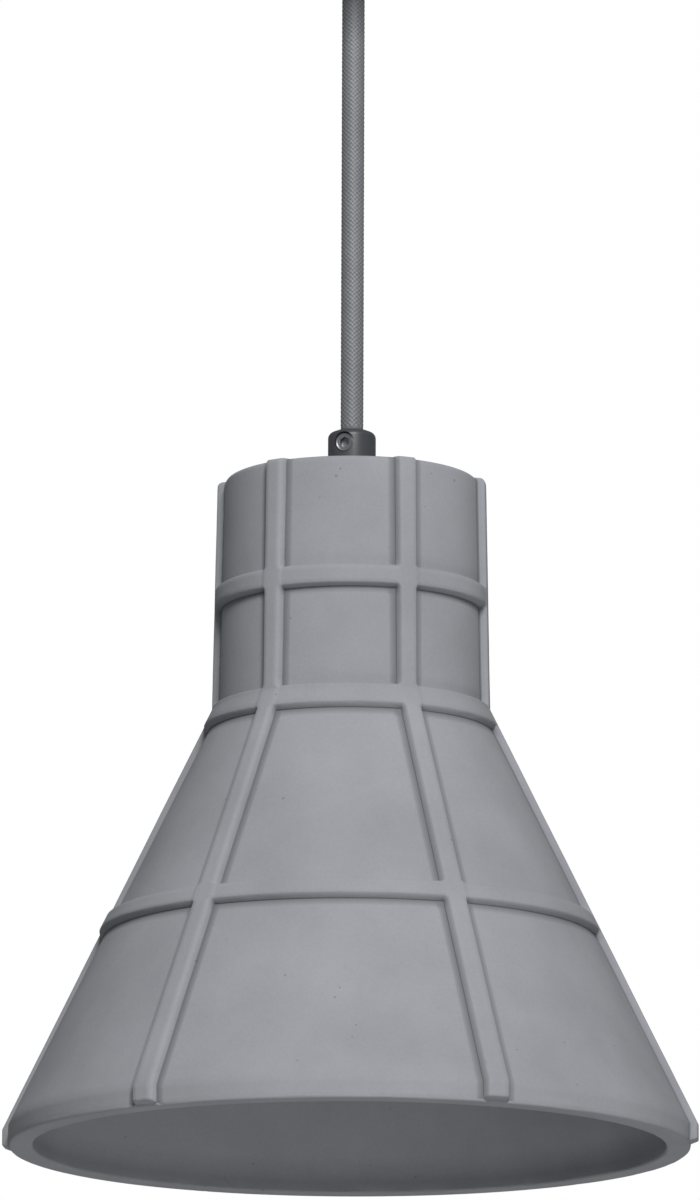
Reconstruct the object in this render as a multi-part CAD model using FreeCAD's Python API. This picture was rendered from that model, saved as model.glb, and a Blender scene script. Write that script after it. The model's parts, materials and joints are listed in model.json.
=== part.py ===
import FreeCAD, Part
import math
import os
from FreeCAD import Vector

# A concrete pendant light on a textile cord, in millimetres.
# The ceiling is the plane z = 0 and the lamp hangs below it, so every height is negative.
# Azimuths are in degrees from -Y, which is the front, towards +X.

# Cord
cord_diameter = 7.2
cord_length = 142.0             # between the mouths of the two grips
cord_exit_gap = 0.5             # bend centre to grip mouth
cord_bend_gap = 0.3             # bend ball to the cord beside it
conductor_diameter = 2.0
conductor_spread = 1.3          # conductor axis to cord axis
cord_stub = 0.4                 # cord beyond the end of a nipple
wire_rise = 3.4                 # from the cord's top end to the wires' turn
wire_bend_reach = 6.5

# Cord grips, one under the canopy and one on the shade
grip_diameter = 15.0
grip_shoulder = 2.0
grip_crown = 1.4                # fall of the grip's end from the bore to the shoulder
grip_edge = 0.4
grip_bore_clearance = 0.3
gasket_diameter = 18.0
gasket_thickness = 1.2
grub_diameter = 6.0
grub_socket_width = 3.0
grub_socket_depth = 1.8
grub_recess = 0.35
grub_chamfer = 0.4
grub_above_nipple = 1.3
grub_to_mouth = 2.2
grub_azimuth = -22.0
thread_clearance = 0.05

# Threaded nipples with their nuts and washers
nipple_diameter = 10.0
nipple_hole_clearance = 0.25
nipple_in_grip = 6.0
nipple_stub = 1.0
nut_width = 14.0
nut_thickness = 4.0
washer_diameter = 24.0
washer_thickness = 1.5

# Shade: a ribbed neck over a ribbed cone
shade_height = 211.0
shade_diameter = 216.0          # over the ribs at the rim
neck_top_diameter = 79.6
neck_foot_diameter = 82.3
neck_length = 73.7
neck_wall = 7.65
rim_wall = 7.9
top_thickness = 12.0
top_edge_radius = 1.6
cavity_corner_radius = 4.0
lip_height = 6.2
lip_inner_height = 6.6
lip_edge_radius = 1.0
rib_count = 6
rib_azimuth = 24.5
rib_height = 2.4
ring_height = 2.2               # the ribs stand slightly proud of the rings
rib_flank = 1.2                 # run of a rib's sloped side
rib_edge = 0.5
rib_root = 2.5                  # depth that a rib reaches into the wall
rib_width_top = 4.7
rib_width_foot = 4.3
rib_width_rim = 6.0
rib_end_height = 0.9            # above the rim
neck_ring_drop = 40.4           # top of the shade to the lower edge of the ring's face
neck_ring_face = 4.9
knee_ring_face = 6.9
cone_ring_level = 66.5          # rim to the lower edge of the ring's face
cone_ring_face = 4.8

# Lampholder and its inner pieces
holder_diameter = 40.0
holder_wall = 2.4
dome_height = 22.0
dome_boss_diameter = 15.0
dome_boss_height = 9.0
skirt_height = 34.0
skirt_lip = 2.0
joint_step = 1.2                # half wall step where dome and skirt meet
joint_step_height = 3.0
piece_clearance = 0.1           # between pieces that are assembled together
insert_thickness = 9.0
post_radius = 9.5               # terminal post to the axis
post_width = 5.0
post_height = 6.5
post_bore_height = 3.0
post_screw_diameter = 2.5
post_screw_proud = 0.6
shell_thickness = 0.5
shell_height = 26.0
spring_thickness = 0.6
spring_width = 5.0
spring_length = 9.0
spring_drop = 3.2

# Bulb with an E27 screw cap
bulb_diameter = 60.0
bulb_length = 106.0
bulb_cap_diameter = 26.2
bulb_cap_length = 18.5
bulb_cap_clearance = 0.35
bulb_pitch = 3.629
bulb_insulator_height = 5.0
bulb_insulator_foot = 22.0
bulb_insulator_head = 10.0
bulb_tip_diameter = 9.4
bulb_tip_height = 2.2
bulb_body_height = 34.0
bulb_body_diameter = 52.0
bulb_collar = 0.8
bulb_collar_height = 3.0
bulb_contact_gap = 0.3

# Ceiling canopy and bracket
canopy_diameter = 100.0
canopy_height = 28.0
canopy_wall = 1.5
canopy_edge_radius = 5.0
bracket_width = 20.0
bracket_thickness = 2.0
bracket_side_gap = 0.6
bracket_leg = 17.0
slot_spacing = 50.0
slot_length = 12.0
slot_width = 4.6
side_screw_diameter = 4.0
side_screw_head = 7.0
side_screw_head_height = 2.4
side_screw_length = 7.0
side_screw_level = 12.0         # below the ceiling
screw_groove_width = 0.9
screw_groove_depth = 1.1
earth_screw_offset = 36.0
earth_tag_thickness = 0.8
earth_tag_diameter = 8.0
earth_tag_reach = 12.0          # screw to the foot of the barrel
earth_barrel_length = 6.0
earth_barrel_wall = 0.7
block_length = 28.0
block_width = 15.0
block_height = 11.0
block_pitch = 9.0
clamp_diameter = 5.0
clamp_bore = 3.0
clamp_length = 13.0
clamp_level = 7.5               # below the ceiling
clamp_screw_diameter = 2.6
clamp_screw_spacing = 8.0
clamp_screw_recess = 0.6
block_screw_diameter = 2.5

# Levels and radii worked out from the sizes above
cord_radius = cord_diameter / 2
bore_radius = cord_radius + grip_bore_clearance
grub_height = nipple_in_grip + grub_above_nipple + grub_diameter / 2
grip_height = grub_height + grub_diameter / 2 + grub_to_mouth
canopy_floor = -canopy_height
upper_grip_foot = canopy_floor - gasket_thickness
upper_mouth = upper_grip_foot - grip_height
lower_mouth = upper_mouth - cord_length
lower_grip_foot = lower_mouth - grip_height
shade_top = lower_grip_foot - gasket_thickness
rim_level = shade_top - shade_height
plate_underside = shade_top - top_thickness
upper_bend = upper_mouth - cord_exit_gap
lower_bend = lower_mouth + cord_exit_gap
bend_reach = cord_radius + cord_bend_gap
nipple_radius = nipple_diameter / 2
lip_radius = shade_diameter / 2 - rib_height
knee_level = rim_level + shade_height - neck_length
cone_slope = (lip_radius - neck_foot_diameter / 2) / (shade_height - neck_length - lip_height)
cone_angle = math.atan(cone_slope)
washer_level = plate_underside - washer_thickness
nut_level = washer_level - nut_thickness
dome_top = nut_level
dome_foot = dome_top - dome_height
nipple_foot = dome_top - dome_boss_height
insert_top = dome_foot + joint_step_height
insert_foot = insert_top - insert_thickness
skirt_foot = dome_foot - skirt_height
bulb_cap_radius = bulb_cap_diameter / 2
shell_inner_radius = bulb_cap_radius + bulb_cap_clearance
shell_outer_radius = shell_inner_radius + shell_thickness
tip_top = insert_foot - spring_drop
bulb_top = tip_top - bulb_contact_gap
insulator_top = bulb_top - bulb_tip_height
bulb_cap_top = insulator_top - bulb_insulator_height
bulb_cap_foot = bulb_cap_top - bulb_cap_length
bulb_body_foot = bulb_cap_foot - bulb_body_height
canopy_nipple_top = canopy_floor + canopy_wall + washer_thickness + nut_thickness + nipple_stub
canopy_cord_top = canopy_nipple_top + cord_stub
lamp_cord_foot = nipple_foot - cord_stub
wire_turn_level = canopy_cord_top + wire_rise
AXIS = Vector(0, 0, 1)


def save(name, shape):
    if not shape.isValid():
        raise ValueError("invalid solid: " + name)
    shape.exportStep("parts/" + name + ".step")
    print(name, "solids", len(shape.Solids), "volume", round(shape.Volume, 1))


def outward(azimuth):
    """Unit vector that points out from the axis at an azimuth."""
    angle = math.radians(azimuth)
    return Vector(math.sin(angle), -math.cos(angle), 0)


def turned(shape, azimuth):
    """A copy of a shape that was drawn towards +X, turned to face an azimuth."""
    copy = shape.copy()
    copy.rotate(Vector(0, 0, 0), AXIS, azimuth - 90)
    return copy


def cylinder(radius, low, high, x=0.0, y=0.0):
    return Part.makeCylinder(radius, high - low, Vector(x, y, low))


def tube(outer, inner, low, high):
    return cylinder(outer, low, high).cut(cylinder(inner, low - 1, high + 1))


def box(x_size, y_size, low, high, x=0.0, y=0.0):
    """A block centred on (x, y)."""
    return Part.makeBox(x_size, y_size, high - low, Vector(x - x_size / 2, y - y_size / 2, low))


def hexagon(width, low, high):
    """A six-sided prism with the given width across its flats."""
    corner = width / math.sqrt(3)
    points = [Vector(corner * math.cos(math.radians(a)), corner * math.sin(math.radians(a)), low)
              for a in range(0, 420, 60)]
    return Part.Face(Part.makePolygon(points)).extrude(Vector(0, 0, high - low))


def corner_arc(before, corner, after, radius):
    """Ends and middle of the arc that rounds a corner."""
    back = (before - corner).normalize()
    ahead = (after - corner).normalize()
    half = back.getAngle(ahead) / 2
    reach = radius / math.tan(half)
    bisector = (back + ahead).normalize()
    middle = corner + bisector * (radius / math.sin(half) - radius)
    return corner + back * reach, middle, corner + ahead * reach


def outline(points, closed):
    """Edges through points given as (vector, corner radius)."""
    edges = []
    count = len(points)
    pen = None
    first = None
    for i in range(count):
        corner, radius = points[i]
        is_end = not closed and i in (0, count - 1)
        if radius > 0 and not is_end:
            start, middle, finish = corner_arc(points[i - 1][0], corner, points[(i + 1) % count][0], radius)
        else:
            start, middle, finish = corner, None, corner
        if pen is not None:
            edges.append(Part.LineSegment(pen, start).toShape())
        if middle is not None:
            edges.append(Part.Arc(start, middle, finish).toShape())
        if first is None:
            first = start
        pen = finish
    if closed:
        edges.append(Part.LineSegment(pen, first).toShape())
    return Part.Wire(edges)


def turned_solid(points):
    """A full turn about the axis of an outline given as (radius, height, corner radius)."""
    wire = outline([(Vector(r, 0, z), fillet) for r, z, fillet in points], True)
    return Part.Face(wire).revolve(Vector(0, 0, 0), AXIS, 360)


def rod(points, radius):
    """A round rod along points given as (x, y, z), with arcs as large as the runs allow."""
    vectors = [Vector(*p) for p in points]
    path = [(vectors[0], 0)]
    for i in range(1, len(vectors) - 1):
        back = vectors[i - 1] - vectors[i]
        ahead = vectors[i + 1] - vectors[i]
        turn = math.pi - back.getAngle(ahead)
        path.append((vectors[i], 0.45 * min(back.Length, ahead.Length) / math.tan(turn / 2)))
    path.append((vectors[-1], 0))
    wire = outline(path, False)
    start = vectors[0]
    profile = Part.Wire(Part.Circle(start, vectors[1] - start, radius).toShape())
    solid = wire.makePipeShell([profile], True, False)
    print("  rod bend radii", [round(r, 1) for _, r in path[1:-1]])
    return solid


# Concrete shade ------------------------------------------------------------------------------

def wall_radius(level):
    """Outer radius of the bare wall at a height."""
    if level >= knee_level:
        drop = shade_top - level
        return (neck_top_diameter + (neck_foot_diameter - neck_top_diameter) * drop / neck_length) / 2
    if level <= rim_level + lip_height:
        return lip_radius
    return neck_foot_diameter / 2 + cone_slope * (knee_level - level)


def shade_wall():
    hole = nipple_radius + nipple_hole_clearance
    cavity = neck_foot_diameter / 2 - neck_wall
    mouth = lip_radius - rim_wall
    return turned_solid([
        (hole, shade_top, 0),
        (neck_top_diameter / 2, shade_top, top_edge_radius),
        (neck_foot_diameter / 2, knee_level, 0),
        (lip_radius, rim_level + lip_height, 0),
        (lip_radius, rim_level, lip_edge_radius),
        (mouth, rim_level, lip_edge_radius),
        (mouth, rim_level + lip_inner_height, 0),
        (cavity, knee_level, 0),
        (cavity, plate_underside, cavity_corner_radius),
        (hole, plate_underside, 0),
    ])


def neck_ring():
    low = shade_top - neck_ring_drop
    high = low + neck_ring_face
    return turned_solid([
        (wall_radius(low) - rib_root, low - rib_flank, 0),
        (wall_radius(low), low - rib_flank, 0),
        (wall_radius(low) + ring_height, low, rib_edge),
        (wall_radius(high) + ring_height, high, rib_edge),
        (wall_radius(high), high + rib_flank, 0),
        (wall_radius(high) - rib_root, high + rib_flank, 0),
    ])


def on_cone(down, out):
    """Radius and height of a point given down the cone's slope from the knee and out from it."""
    radius = neck_foot_diameter / 2 + down * math.sin(cone_angle) + out * math.cos(cone_angle)
    height = knee_level - down * math.cos(cone_angle) + out * math.sin(cone_angle)
    return radius, height


def knee_ring():
    """Ring whose face starts where the neck's ribs turn into the cone's."""
    face_top = ring_height * math.tan(cone_angle / 2)
    face_foot = knee_ring_face - face_top
    return turned_solid([
        (wall_radius(knee_level) - rib_root, knee_level + face_top + rib_flank, 0),
        (wall_radius(knee_level + face_top + rib_flank), knee_level + face_top + rib_flank, 0),
        (neck_foot_diameter / 2 + ring_height, knee_level + face_top, rib_edge),
        (*on_cone(face_foot, ring_height), rib_edge),
        (*on_cone(face_foot + rib_flank, 0), 0),
        (*on_cone(face_foot + rib_flank, -rib_root), 0),
    ])


def cone_ring():
    foot = (knee_level - rim_level - cone_ring_level) / math.cos(cone_angle)
    top = foot - cone_ring_face
    return turned_solid([
        (*on_cone(top - rib_flank, -rib_root), 0),
        (*on_cone(top - rib_flank, 0), 0),
        (*on_cone(top, ring_height), rib_edge),
        (*on_cone(foot, ring_height), rib_edge),
        (*on_cone(foot + rib_flank, 0), 0),
        (*on_cone(foot + rib_flank, -rib_root), 0),
    ])


def rib_section(level, face_radius, width, depth):
    """Cross-section of a rib at a height: sloped sides, a flat face and cut edges."""
    half = width / 2
    lean = rib_flank / rib_height
    corners = [
        (face_radius - depth, half + lean * depth),
        (face_radius - rib_edge, half + lean * rib_edge),
        (face_radius, half - rib_edge),
    ]
    points = [Vector(r, t, level) for r, t in corners]
    points += [Vector(r, -t, level) for r, t in reversed(corners)]
    return Part.makePolygon(points + points[:1])


def rib():
    knee_rise = rib_height * math.tan(cone_angle / 2)
    lip_level = rim_level + lip_height + knee_rise
    depth = rib_height + rib_root
    neck_radius = neck_foot_diameter / 2 + rib_height
    rim_radius = shade_diameter / 2
    sections = [
        rib_section(shade_top, neck_top_diameter / 2 + rib_height, rib_width_top, depth),
        rib_section(knee_level + knee_rise, neck_radius, rib_width_foot, depth),
        rib_section(lip_level, rim_radius, rib_width_rim, depth),
        rib_section(rim_level + rib_end_height, rim_radius, rib_width_rim, depth),
    ]
    solid = Part.makeLoft(sections, True, True)
    corner = neck_top_diameter / 2 + rib_height
    cutter = turned_solid([
        (corner - top_edge_radius, shade_top, 0),
        (corner, shade_top - top_edge_radius, 0),
        (corner + 1, shade_top - top_edge_radius, 0),
        (corner + 1, shade_top + 1, 0),
        (corner - top_edge_radius, shade_top + 1, 0),
    ])
    return solid.cut(cutter)


def shade():
    ribs = [turned(rib(), rib_azimuth + i * 360 / rib_count) for i in range(rib_count)]
    solid = shade_wall().fuse([neck_ring(), knee_ring(), cone_ring()] + ribs)
    return solid.removeSplitter()


# Cord grips, nipples, nuts and washers -------------------------------------------------------

def mirrored(shape, level):
    """A shape that was drawn upward from z = 0, turned over to hang below a level."""
    copy = shape.copy()
    copy.rotate(Vector(0, 0, 0), Vector(0, 1, 0), 180)
    copy.rotate(Vector(0, 0, 0), AXIS, 180)
    copy.translate(Vector(0, 0, level))
    return copy


def raised(shape, level):
    copy = shape.copy()
    copy.translate(Vector(0, 0, level))
    return copy


def grip_body():
    """Grip drawn upward from its foot at z = 0."""
    radius = grip_diameter / 2
    seat = nipple_radius + thread_clearance
    body = turned_solid([
        (seat, 0, 0),
        (radius, 0, grip_edge),
        (radius, grip_height - grip_crown, grip_shoulder),
        (bore_radius, grip_height, grip_edge),
        (bore_radius, nipple_in_grip, 0),
        (seat, nipple_in_grip, 0),
    ])
    hole = Part.makeCylinder(grub_diameter / 2 + thread_clearance, radius + 1,
                             Vector(0, 0, grub_height), outward(grub_azimuth))
    return body.cut(hole)


def grub_screw():
    """Socket screw that presses on the cord, drawn with the grip's foot at z = 0."""
    face = math.sqrt((grip_diameter / 2) ** 2 - (grub_diameter / 2) ** 2) - grub_recess
    length = face - cord_radius
    screw = cylinder(grub_diameter / 2, 0, length)
    screw = screw.makeChamfer(grub_chamfer, screw.Edges[0:1] + screw.Edges[2:3])
    socket = hexagon(grub_socket_width, length - grub_socket_depth, length + 1)
    screw = screw.cut(socket)
    screw.rotate(Vector(0, 0, 0), Vector(0, 1, 0), 90)
    screw.translate(Vector(cord_radius, 0, grub_height))
    return turned(screw, grub_azimuth)


def gasket():
    return tube(gasket_diameter / 2, nipple_radius + nipple_hole_clearance, -gasket_thickness, 0)


def nipple(top, foot):
    return tube(nipple_radius, bore_radius, foot, top)


def nut(low):
    body = hexagon(nut_width, low, low + nut_thickness)
    return body.cut(cylinder(nipple_radius + thread_clearance, low - 1, low + nut_thickness + 1))


def washer(low):
    return tube(washer_diameter / 2, nipple_radius + nipple_hole_clearance, low, low + washer_thickness)


# Cord ----------------------------------------------------------------------------------------

def bend_ball(level):
    """Where the cord bends at a grip's mouth."""
    return Part.makeSphere(cord_radius, Vector(0, 0, level))


def cord_run(high, low):
    solid = cylinder(cord_radius, low, high)
    print("  cord run", round(high - low, 1), "volume over section", round(solid.Volume / (math.pi * cord_radius ** 2), 1))
    return solid


# Ceiling fitting -----------------------------------------------------------------------------

def canopy():
    outer = canopy_diameter / 2
    hole = nipple_radius + nipple_hole_clearance
    inner_corner = canopy_edge_radius - canopy_wall
    body = turned_solid([
        (outer - canopy_wall, 0, 0),
        (outer, 0, 0),
        (outer, canopy_floor, canopy_edge_radius),
        (hole, canopy_floor, 0),
        (hole, canopy_floor + canopy_wall, 0),
        (outer - canopy_wall, canopy_floor + canopy_wall, inner_corner),
    ])
    radius = side_screw_diameter / 2 + nipple_hole_clearance
    side_hole = Part.makeCylinder(radius, canopy_diameter + 2,
                                  Vector(-outer - 1, 0, -side_screw_level), Vector(1, 0, 0))
    return body.cut(side_hole)


def bracket_reach():
    """Half the bracket's length, to the outside of its legs."""
    half_width = bracket_width / 2
    inside = canopy_diameter / 2 - canopy_wall
    return math.sqrt(inside ** 2 - half_width ** 2) - bracket_side_gap


def slot(x):
    cut = box(slot_length - slot_width, slot_width, -bracket_thickness - 1, 1, x)
    for side in (-1, 1):
        centre = x + side * (slot_length - slot_width) / 2
        cut = cut.fuse(cylinder(slot_width / 2, -bracket_thickness - 1, 1, centre))
    return cut.removeSplitter()


def bracket():
    reach = bracket_reach()
    strip = box(2 * reach, bracket_width, -bracket_thickness, 0)
    for side in (-1, 1):
        leg_x = side * (reach - bracket_thickness / 2)
        strip = strip.fuse(box(bracket_thickness, bracket_width, -bracket_leg, -bracket_thickness, leg_x))
        strip = strip.cut(slot(side * slot_spacing / 2))
    tapped = Part.makeCylinder(side_screw_diameter / 2 + thread_clearance, 2 * reach + 2,
                               Vector(-reach - 1, 0, -side_screw_level), Vector(1, 0, 0))
    strip = strip.cut(tapped)
    earth_hole = side_screw_diameter / 2 + thread_clearance
    strip = strip.cut(cylinder(earth_hole, -bracket_thickness - 1, 1, earth_screw_offset))
    block_hole = block_screw_diameter / 2 + thread_clearance
    strip = strip.cut(cylinder(block_hole, -bracket_thickness - 1, 1, block_pitch / 2))
    return strip.removeSplitter()


def slotted_screw(length):
    """An M4 pan-head screw with its head above z = 0 and its shank below."""
    shank = cylinder(side_screw_diameter / 2, -length, 0)
    head = cylinder(side_screw_head / 2, 0, side_screw_head_height)
    groove_foot = side_screw_head_height - screw_groove_depth
    head = head.cut(box(side_screw_head + 1, screw_groove_width, groove_foot, side_screw_head_height + 1))
    return shank.fuse(head).removeSplitter()


def side_screws():
    """The two screws that hold the canopy to the bracket's legs."""
    seat = canopy_diameter / 2
    screw = slotted_screw(side_screw_length)
    screw.rotate(Vector(0, 0, 0), Vector(0, 1, 0), 90)
    screw.translate(Vector(seat, 0, -side_screw_level))
    return Part.makeCompound([turned(screw, 90), turned(screw, -90)])


def earth_screw():
    screw = slotted_screw(bracket_thickness + earth_tag_thickness)
    screw = mirrored(screw, -bracket_thickness - earth_tag_thickness)
    screw.translate(Vector(earth_screw_offset, 0, 0))
    return screw


def barrel_level():
    """Height of the earth tag's barrel, whose wall runs into the tag's plate."""
    return -bracket_thickness - earth_tag_thickness / 2


def earth_tag():
    """Ring under the earth screw, with a barrel for the conductor."""
    low = -bracket_thickness - earth_tag_thickness
    high = -bracket_thickness
    bore = conductor_diameter / 2 + thread_clearance
    foot = Vector(earth_screw_offset, earth_tag_reach, barrel_level())
    plate = cylinder(earth_tag_diameter / 2, low, high, earth_screw_offset)
    tail_width = 2 * (bore + earth_barrel_wall)
    tail = box(tail_width, earth_tag_reach, low, high, earth_screw_offset, earth_tag_reach / 2)
    barrel = Part.makeCylinder(tail_width / 2, earth_barrel_length, foot, Vector(0, 1, 0))
    tag = plate.fuse([tail, barrel])
    hole = cylinder(side_screw_diameter / 2 + thread_clearance, low - 1, high + 1, earth_screw_offset)
    seat = Part.makeCylinder(bore, earth_barrel_length, foot + Vector(0, 1, 0), Vector(0, 1, 0))
    return tag.cut(hole).cut(seat).removeSplitter()


def clamp_places():
    return [(i * block_pitch, side * clamp_screw_spacing / 2) for i in (-1, 0, 1) for side in (-1, 1)]


def clamp_rod(radius, length, x):
    return Part.makeCylinder(radius, length, Vector(x, -length / 2, -clamp_level), Vector(0, 1, 0))


def terminal_block():
    foot = -bracket_thickness - block_height
    block = box(block_length, block_width, foot, -bracket_thickness)
    for i in (-1, 0, 1):
        block = block.cut(clamp_rod(clamp_diameter / 2 + thread_clearance, block_width + 2, i * block_pitch))
    for x, y in clamp_places():
        block = block.cut(cylinder(clamp_screw_diameter / 2 + thread_clearance, foot - 1, -clamp_level, x, y))
    block_hole = block_screw_diameter / 2 + thread_clearance
    return block.cut(cylinder(block_hole, foot - 1, 0, block_pitch / 2))


def terminal_clamps():
    clamps = []
    for i in (-1, 0, 1):
        clamp = clamp_rod(clamp_diameter / 2, clamp_length, i * block_pitch)
        clamp = clamp.cut(clamp_rod(clamp_bore / 2, clamp_length + 2, i * block_pitch))
        for x, y in clamp_places():
            if x == i * block_pitch:
                hole = clamp_screw_diameter / 2 + thread_clearance
                clamp = clamp.cut(cylinder(hole, -clamp_level - clamp_diameter, -clamp_level, x, y))
        clamps.append(clamp)
    return Part.makeCompound(clamps)


def clamp_screws():
    foot = -bracket_thickness - block_height + clamp_screw_recess
    tip = -clamp_level - conductor_diameter / 2 - thread_clearance
    return Part.makeCompound([cylinder(clamp_screw_diameter / 2, foot, tip, x, y) for x, y in clamp_places()])


def block_screw():
    foot = -bracket_thickness - block_height + clamp_screw_recess
    return cylinder(block_screw_diameter / 2, foot, 0, block_pitch / 2)


def core_place(core):
    """Unit vector from the cord's axis to one of its three conductors."""
    return outward(180 + 120 * core)


def canopy_wire(core, corners):
    """Conductor from the cord's top end through corners given as (x, y, height)."""
    start = core_place(core) * conductor_spread
    points = [(start.x, start.y, canopy_cord_top), (start.x, start.y, wire_turn_level)]
    return rod(points + corners, conductor_diameter / 2)


def block_wire(core, column):
    """Live or neutral conductor, round the block and into its clamp."""
    x = column * block_pitch
    bend_y = block_width / 2 + wire_bend_reach
    return canopy_wire(core, [
        (x, bend_y, wire_turn_level),
        (x, bend_y, -clamp_level),
        (x, clamp_screw_spacing / 4, -clamp_level),
    ])


def earth_wire():
    x = earth_screw_offset
    bend_y = earth_tag_reach + earth_barrel_length + wire_bend_reach
    return canopy_wire(2, [
        (x, bend_y, wire_turn_level),
        (x, bend_y, barrel_level()),
        (x, earth_tag_reach + earth_barrel_length / 4, barrel_level()),
    ])


# Lampholder ----------------------------------------------------------------------------------

def holder_dome():
    outer = holder_diameter / 2
    inner = outer - holder_wall
    hole = nipple_radius + thread_clearance
    boss = dome_boss_diameter / 2
    shoulder = dome_top - dome_boss_height
    return turned_solid([
        (hole, dome_top, 0),
        (boss + holder_wall, dome_top, 1.0),
        (outer, shoulder, 4.0),
        (outer, dome_foot, 0),
        (outer - joint_step, dome_foot, 0),
        (outer - joint_step, dome_foot + joint_step_height, 0),
        (inner, dome_foot + joint_step_height, 0),
        (inner, shoulder - holder_wall / 2, 2.0),
        (boss, dome_top - holder_wall, 0),
        (boss, nipple_foot, 0),
        (hole, nipple_foot, 0),
    ])


def holder_skirt():
    outer = holder_diameter / 2
    inner = outer - holder_wall
    tongue = outer - joint_step - piece_clearance
    tongue_top = dome_foot + joint_step_height - piece_clearance
    shell_seat = shell_outer_radius + piece_clearance
    shell_foot = insert_foot - shell_height
    return turned_solid([
        (tongue, tongue_top, 0),
        (tongue, dome_foot, 0),
        (outer, dome_foot, 0),
        (outer, skirt_foot, skirt_lip),
        (shell_inner_radius, skirt_foot, 0.5),
        (shell_inner_radius, shell_foot, 0),
        (shell_seat, shell_foot, 0),
        (shell_seat, insert_foot, 0),
        (inner, insert_foot, 0),
        (inner, tongue_top, 0),
    ])


def holder_insert():
    return cylinder(holder_diameter / 2 - holder_wall - piece_clearance, insert_foot, insert_top)


def post_places():
    return [core_place(core) * post_radius for core in range(3)]


def terminal_post(core):
    """Brass post with a bore that faces the axis and a screw hole from above."""
    post = box(post_width, post_width, insert_top, insert_top + post_height, post_radius)
    bore = conductor_diameter / 2 + thread_clearance
    level = insert_top + post_bore_height
    post = post.cut(Part.makeCylinder(bore, post_radius, Vector(0, 0, level), Vector(1, 0, 0)))
    screw_hole = post_screw_diameter / 2 + thread_clearance
    post = post.cut(cylinder(screw_hole, level, insert_top + post_height + 1, post_radius - post_width / 4))
    return turned(post, 180 + 120 * core)


def post_screws():
    tip = insert_top + post_bore_height + conductor_diameter / 2 + thread_clearance
    screws = []
    for core in range(3):
        screw = cylinder(post_screw_diameter / 2, tip, insert_top + post_height + post_screw_proud, post_radius - post_width / 4)
        screws.append(turned(screw, 180 + 120 * core))
    return Part.makeCompound(screws)


def lamp_wire(core):
    """Conductor from the cord's lower end to its terminal post."""
    place = core_place(core)
    start = place * conductor_spread
    finish = place * (post_radius - thread_clearance)
    level = insert_top + post_bore_height
    return rod([(start.x, start.y, lamp_cord_foot), (start.x, start.y, level), (finish.x, finish.y, level)],
               conductor_diameter / 2)


def screw_shell():
    return tube(shell_outer_radius, shell_inner_radius, insert_foot - shell_height, insert_foot)


def centre_spring():
    """Bent strip whose free end presses on the bulb's tip."""
    pad = spring_width / 2
    root = spring_length
    outline_points = [
        (root, insert_foot),
        (pad + spring_drop, insert_foot),
        (pad, tip_top + spring_thickness),
        (-pad, tip_top + spring_thickness),
        (-pad, tip_top),
        (pad + spring_thickness / 2, tip_top),
        (pad + spring_drop + spring_thickness / 2, insert_foot - spring_thickness),
        (root, insert_foot - spring_thickness),
    ]
    points = [Vector(x, -spring_width / 2, z) for x, z in outline_points]
    return Part.Face(Part.makePolygon(points + points[:1])).extrude(Vector(0, spring_width, 0))


# Bulb ----------------------------------------------------------------------------------------

def bulb_tip():
    return cylinder(bulb_tip_diameter / 2, bulb_top - bulb_tip_height, bulb_top)


def bulb_insulator():
    return turned_solid([
        (0, insulator_top, 0),
        (bulb_insulator_head / 2, insulator_top, 0),
        (bulb_insulator_foot / 2, bulb_cap_top, 0),
        (0, bulb_cap_top, 0),
    ])


def bulb_cap():
    return turned_solid([
        (0, bulb_cap_top, 0),
        (bulb_cap_radius, bulb_cap_top, 1.2),
        (bulb_cap_radius, bulb_cap_foot, 0),
        (0, bulb_cap_foot, 0),
    ])


def bulb_body():
    """Flared housing that joins the cap to the globe."""
    return turned_solid([
        (0, bulb_cap_foot, 0),
        (bulb_cap_radius + bulb_collar, bulb_cap_foot, 0.8),
        (bulb_cap_radius + bulb_collar, bulb_cap_foot - bulb_collar_height, 3.0),
        (bulb_body_diameter / 2, bulb_body_foot, 0),
        (0, bulb_body_foot, 0),
    ])


def bulb_globe():
    radius = bulb_diameter / 2
    centre = bulb_top - bulb_length + radius
    ball = Part.makeSphere(radius, Vector(0, 0, centre))
    return ball.cut(cylinder(bulb_diameter, bulb_body_foot, centre + bulb_diameter))


# Every sub-part ------------------------------------------------------------------------------

def save_ceiling():
    save("canopy", canopy())
    save("ceiling_bracket", bracket())
    save("canopy_side_screws", side_screws())
    save("earth_screw", earth_screw())
    save("earth_tag", earth_tag())
    save("terminal_block", terminal_block())
    save("terminal_clamps", terminal_clamps())
    save("clamp_screws", clamp_screws())
    save("block_screw", block_screw())
    save("ceiling_grip", mirrored(grip_body(), upper_grip_foot))
    save("ceiling_grip_screw", mirrored(grub_screw(), upper_grip_foot))
    save("ceiling_gasket", mirrored(gasket(), upper_grip_foot))
    save("ceiling_nipple", nipple(canopy_nipple_top, upper_grip_foot - nipple_in_grip))
    save("ceiling_washer", washer(canopy_floor + canopy_wall))
    save("ceiling_nut", nut(canopy_floor + canopy_wall + washer_thickness))
    save("live_wire_ceiling", block_wire(0, 0))
    save("neutral_wire_ceiling", block_wire(1, -1))
    save("earth_wire_ceiling", earth_wire())


def save_cord():
    middle = (upper_bend + lower_bend) / 2
    save("cord_in_canopy", cord_run(canopy_cord_top, upper_bend + bend_reach))
    save("cord_ceiling_bend", bend_ball(upper_bend))
    save("cord_upper", cord_run(upper_bend - bend_reach, middle))
    save("cord_lower", cord_run(middle, lower_bend + bend_reach))
    save("cord_shade_bend", bend_ball(lower_bend))
    save("cord_in_lamp", cord_run(lower_bend - bend_reach, lamp_cord_foot))


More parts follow.
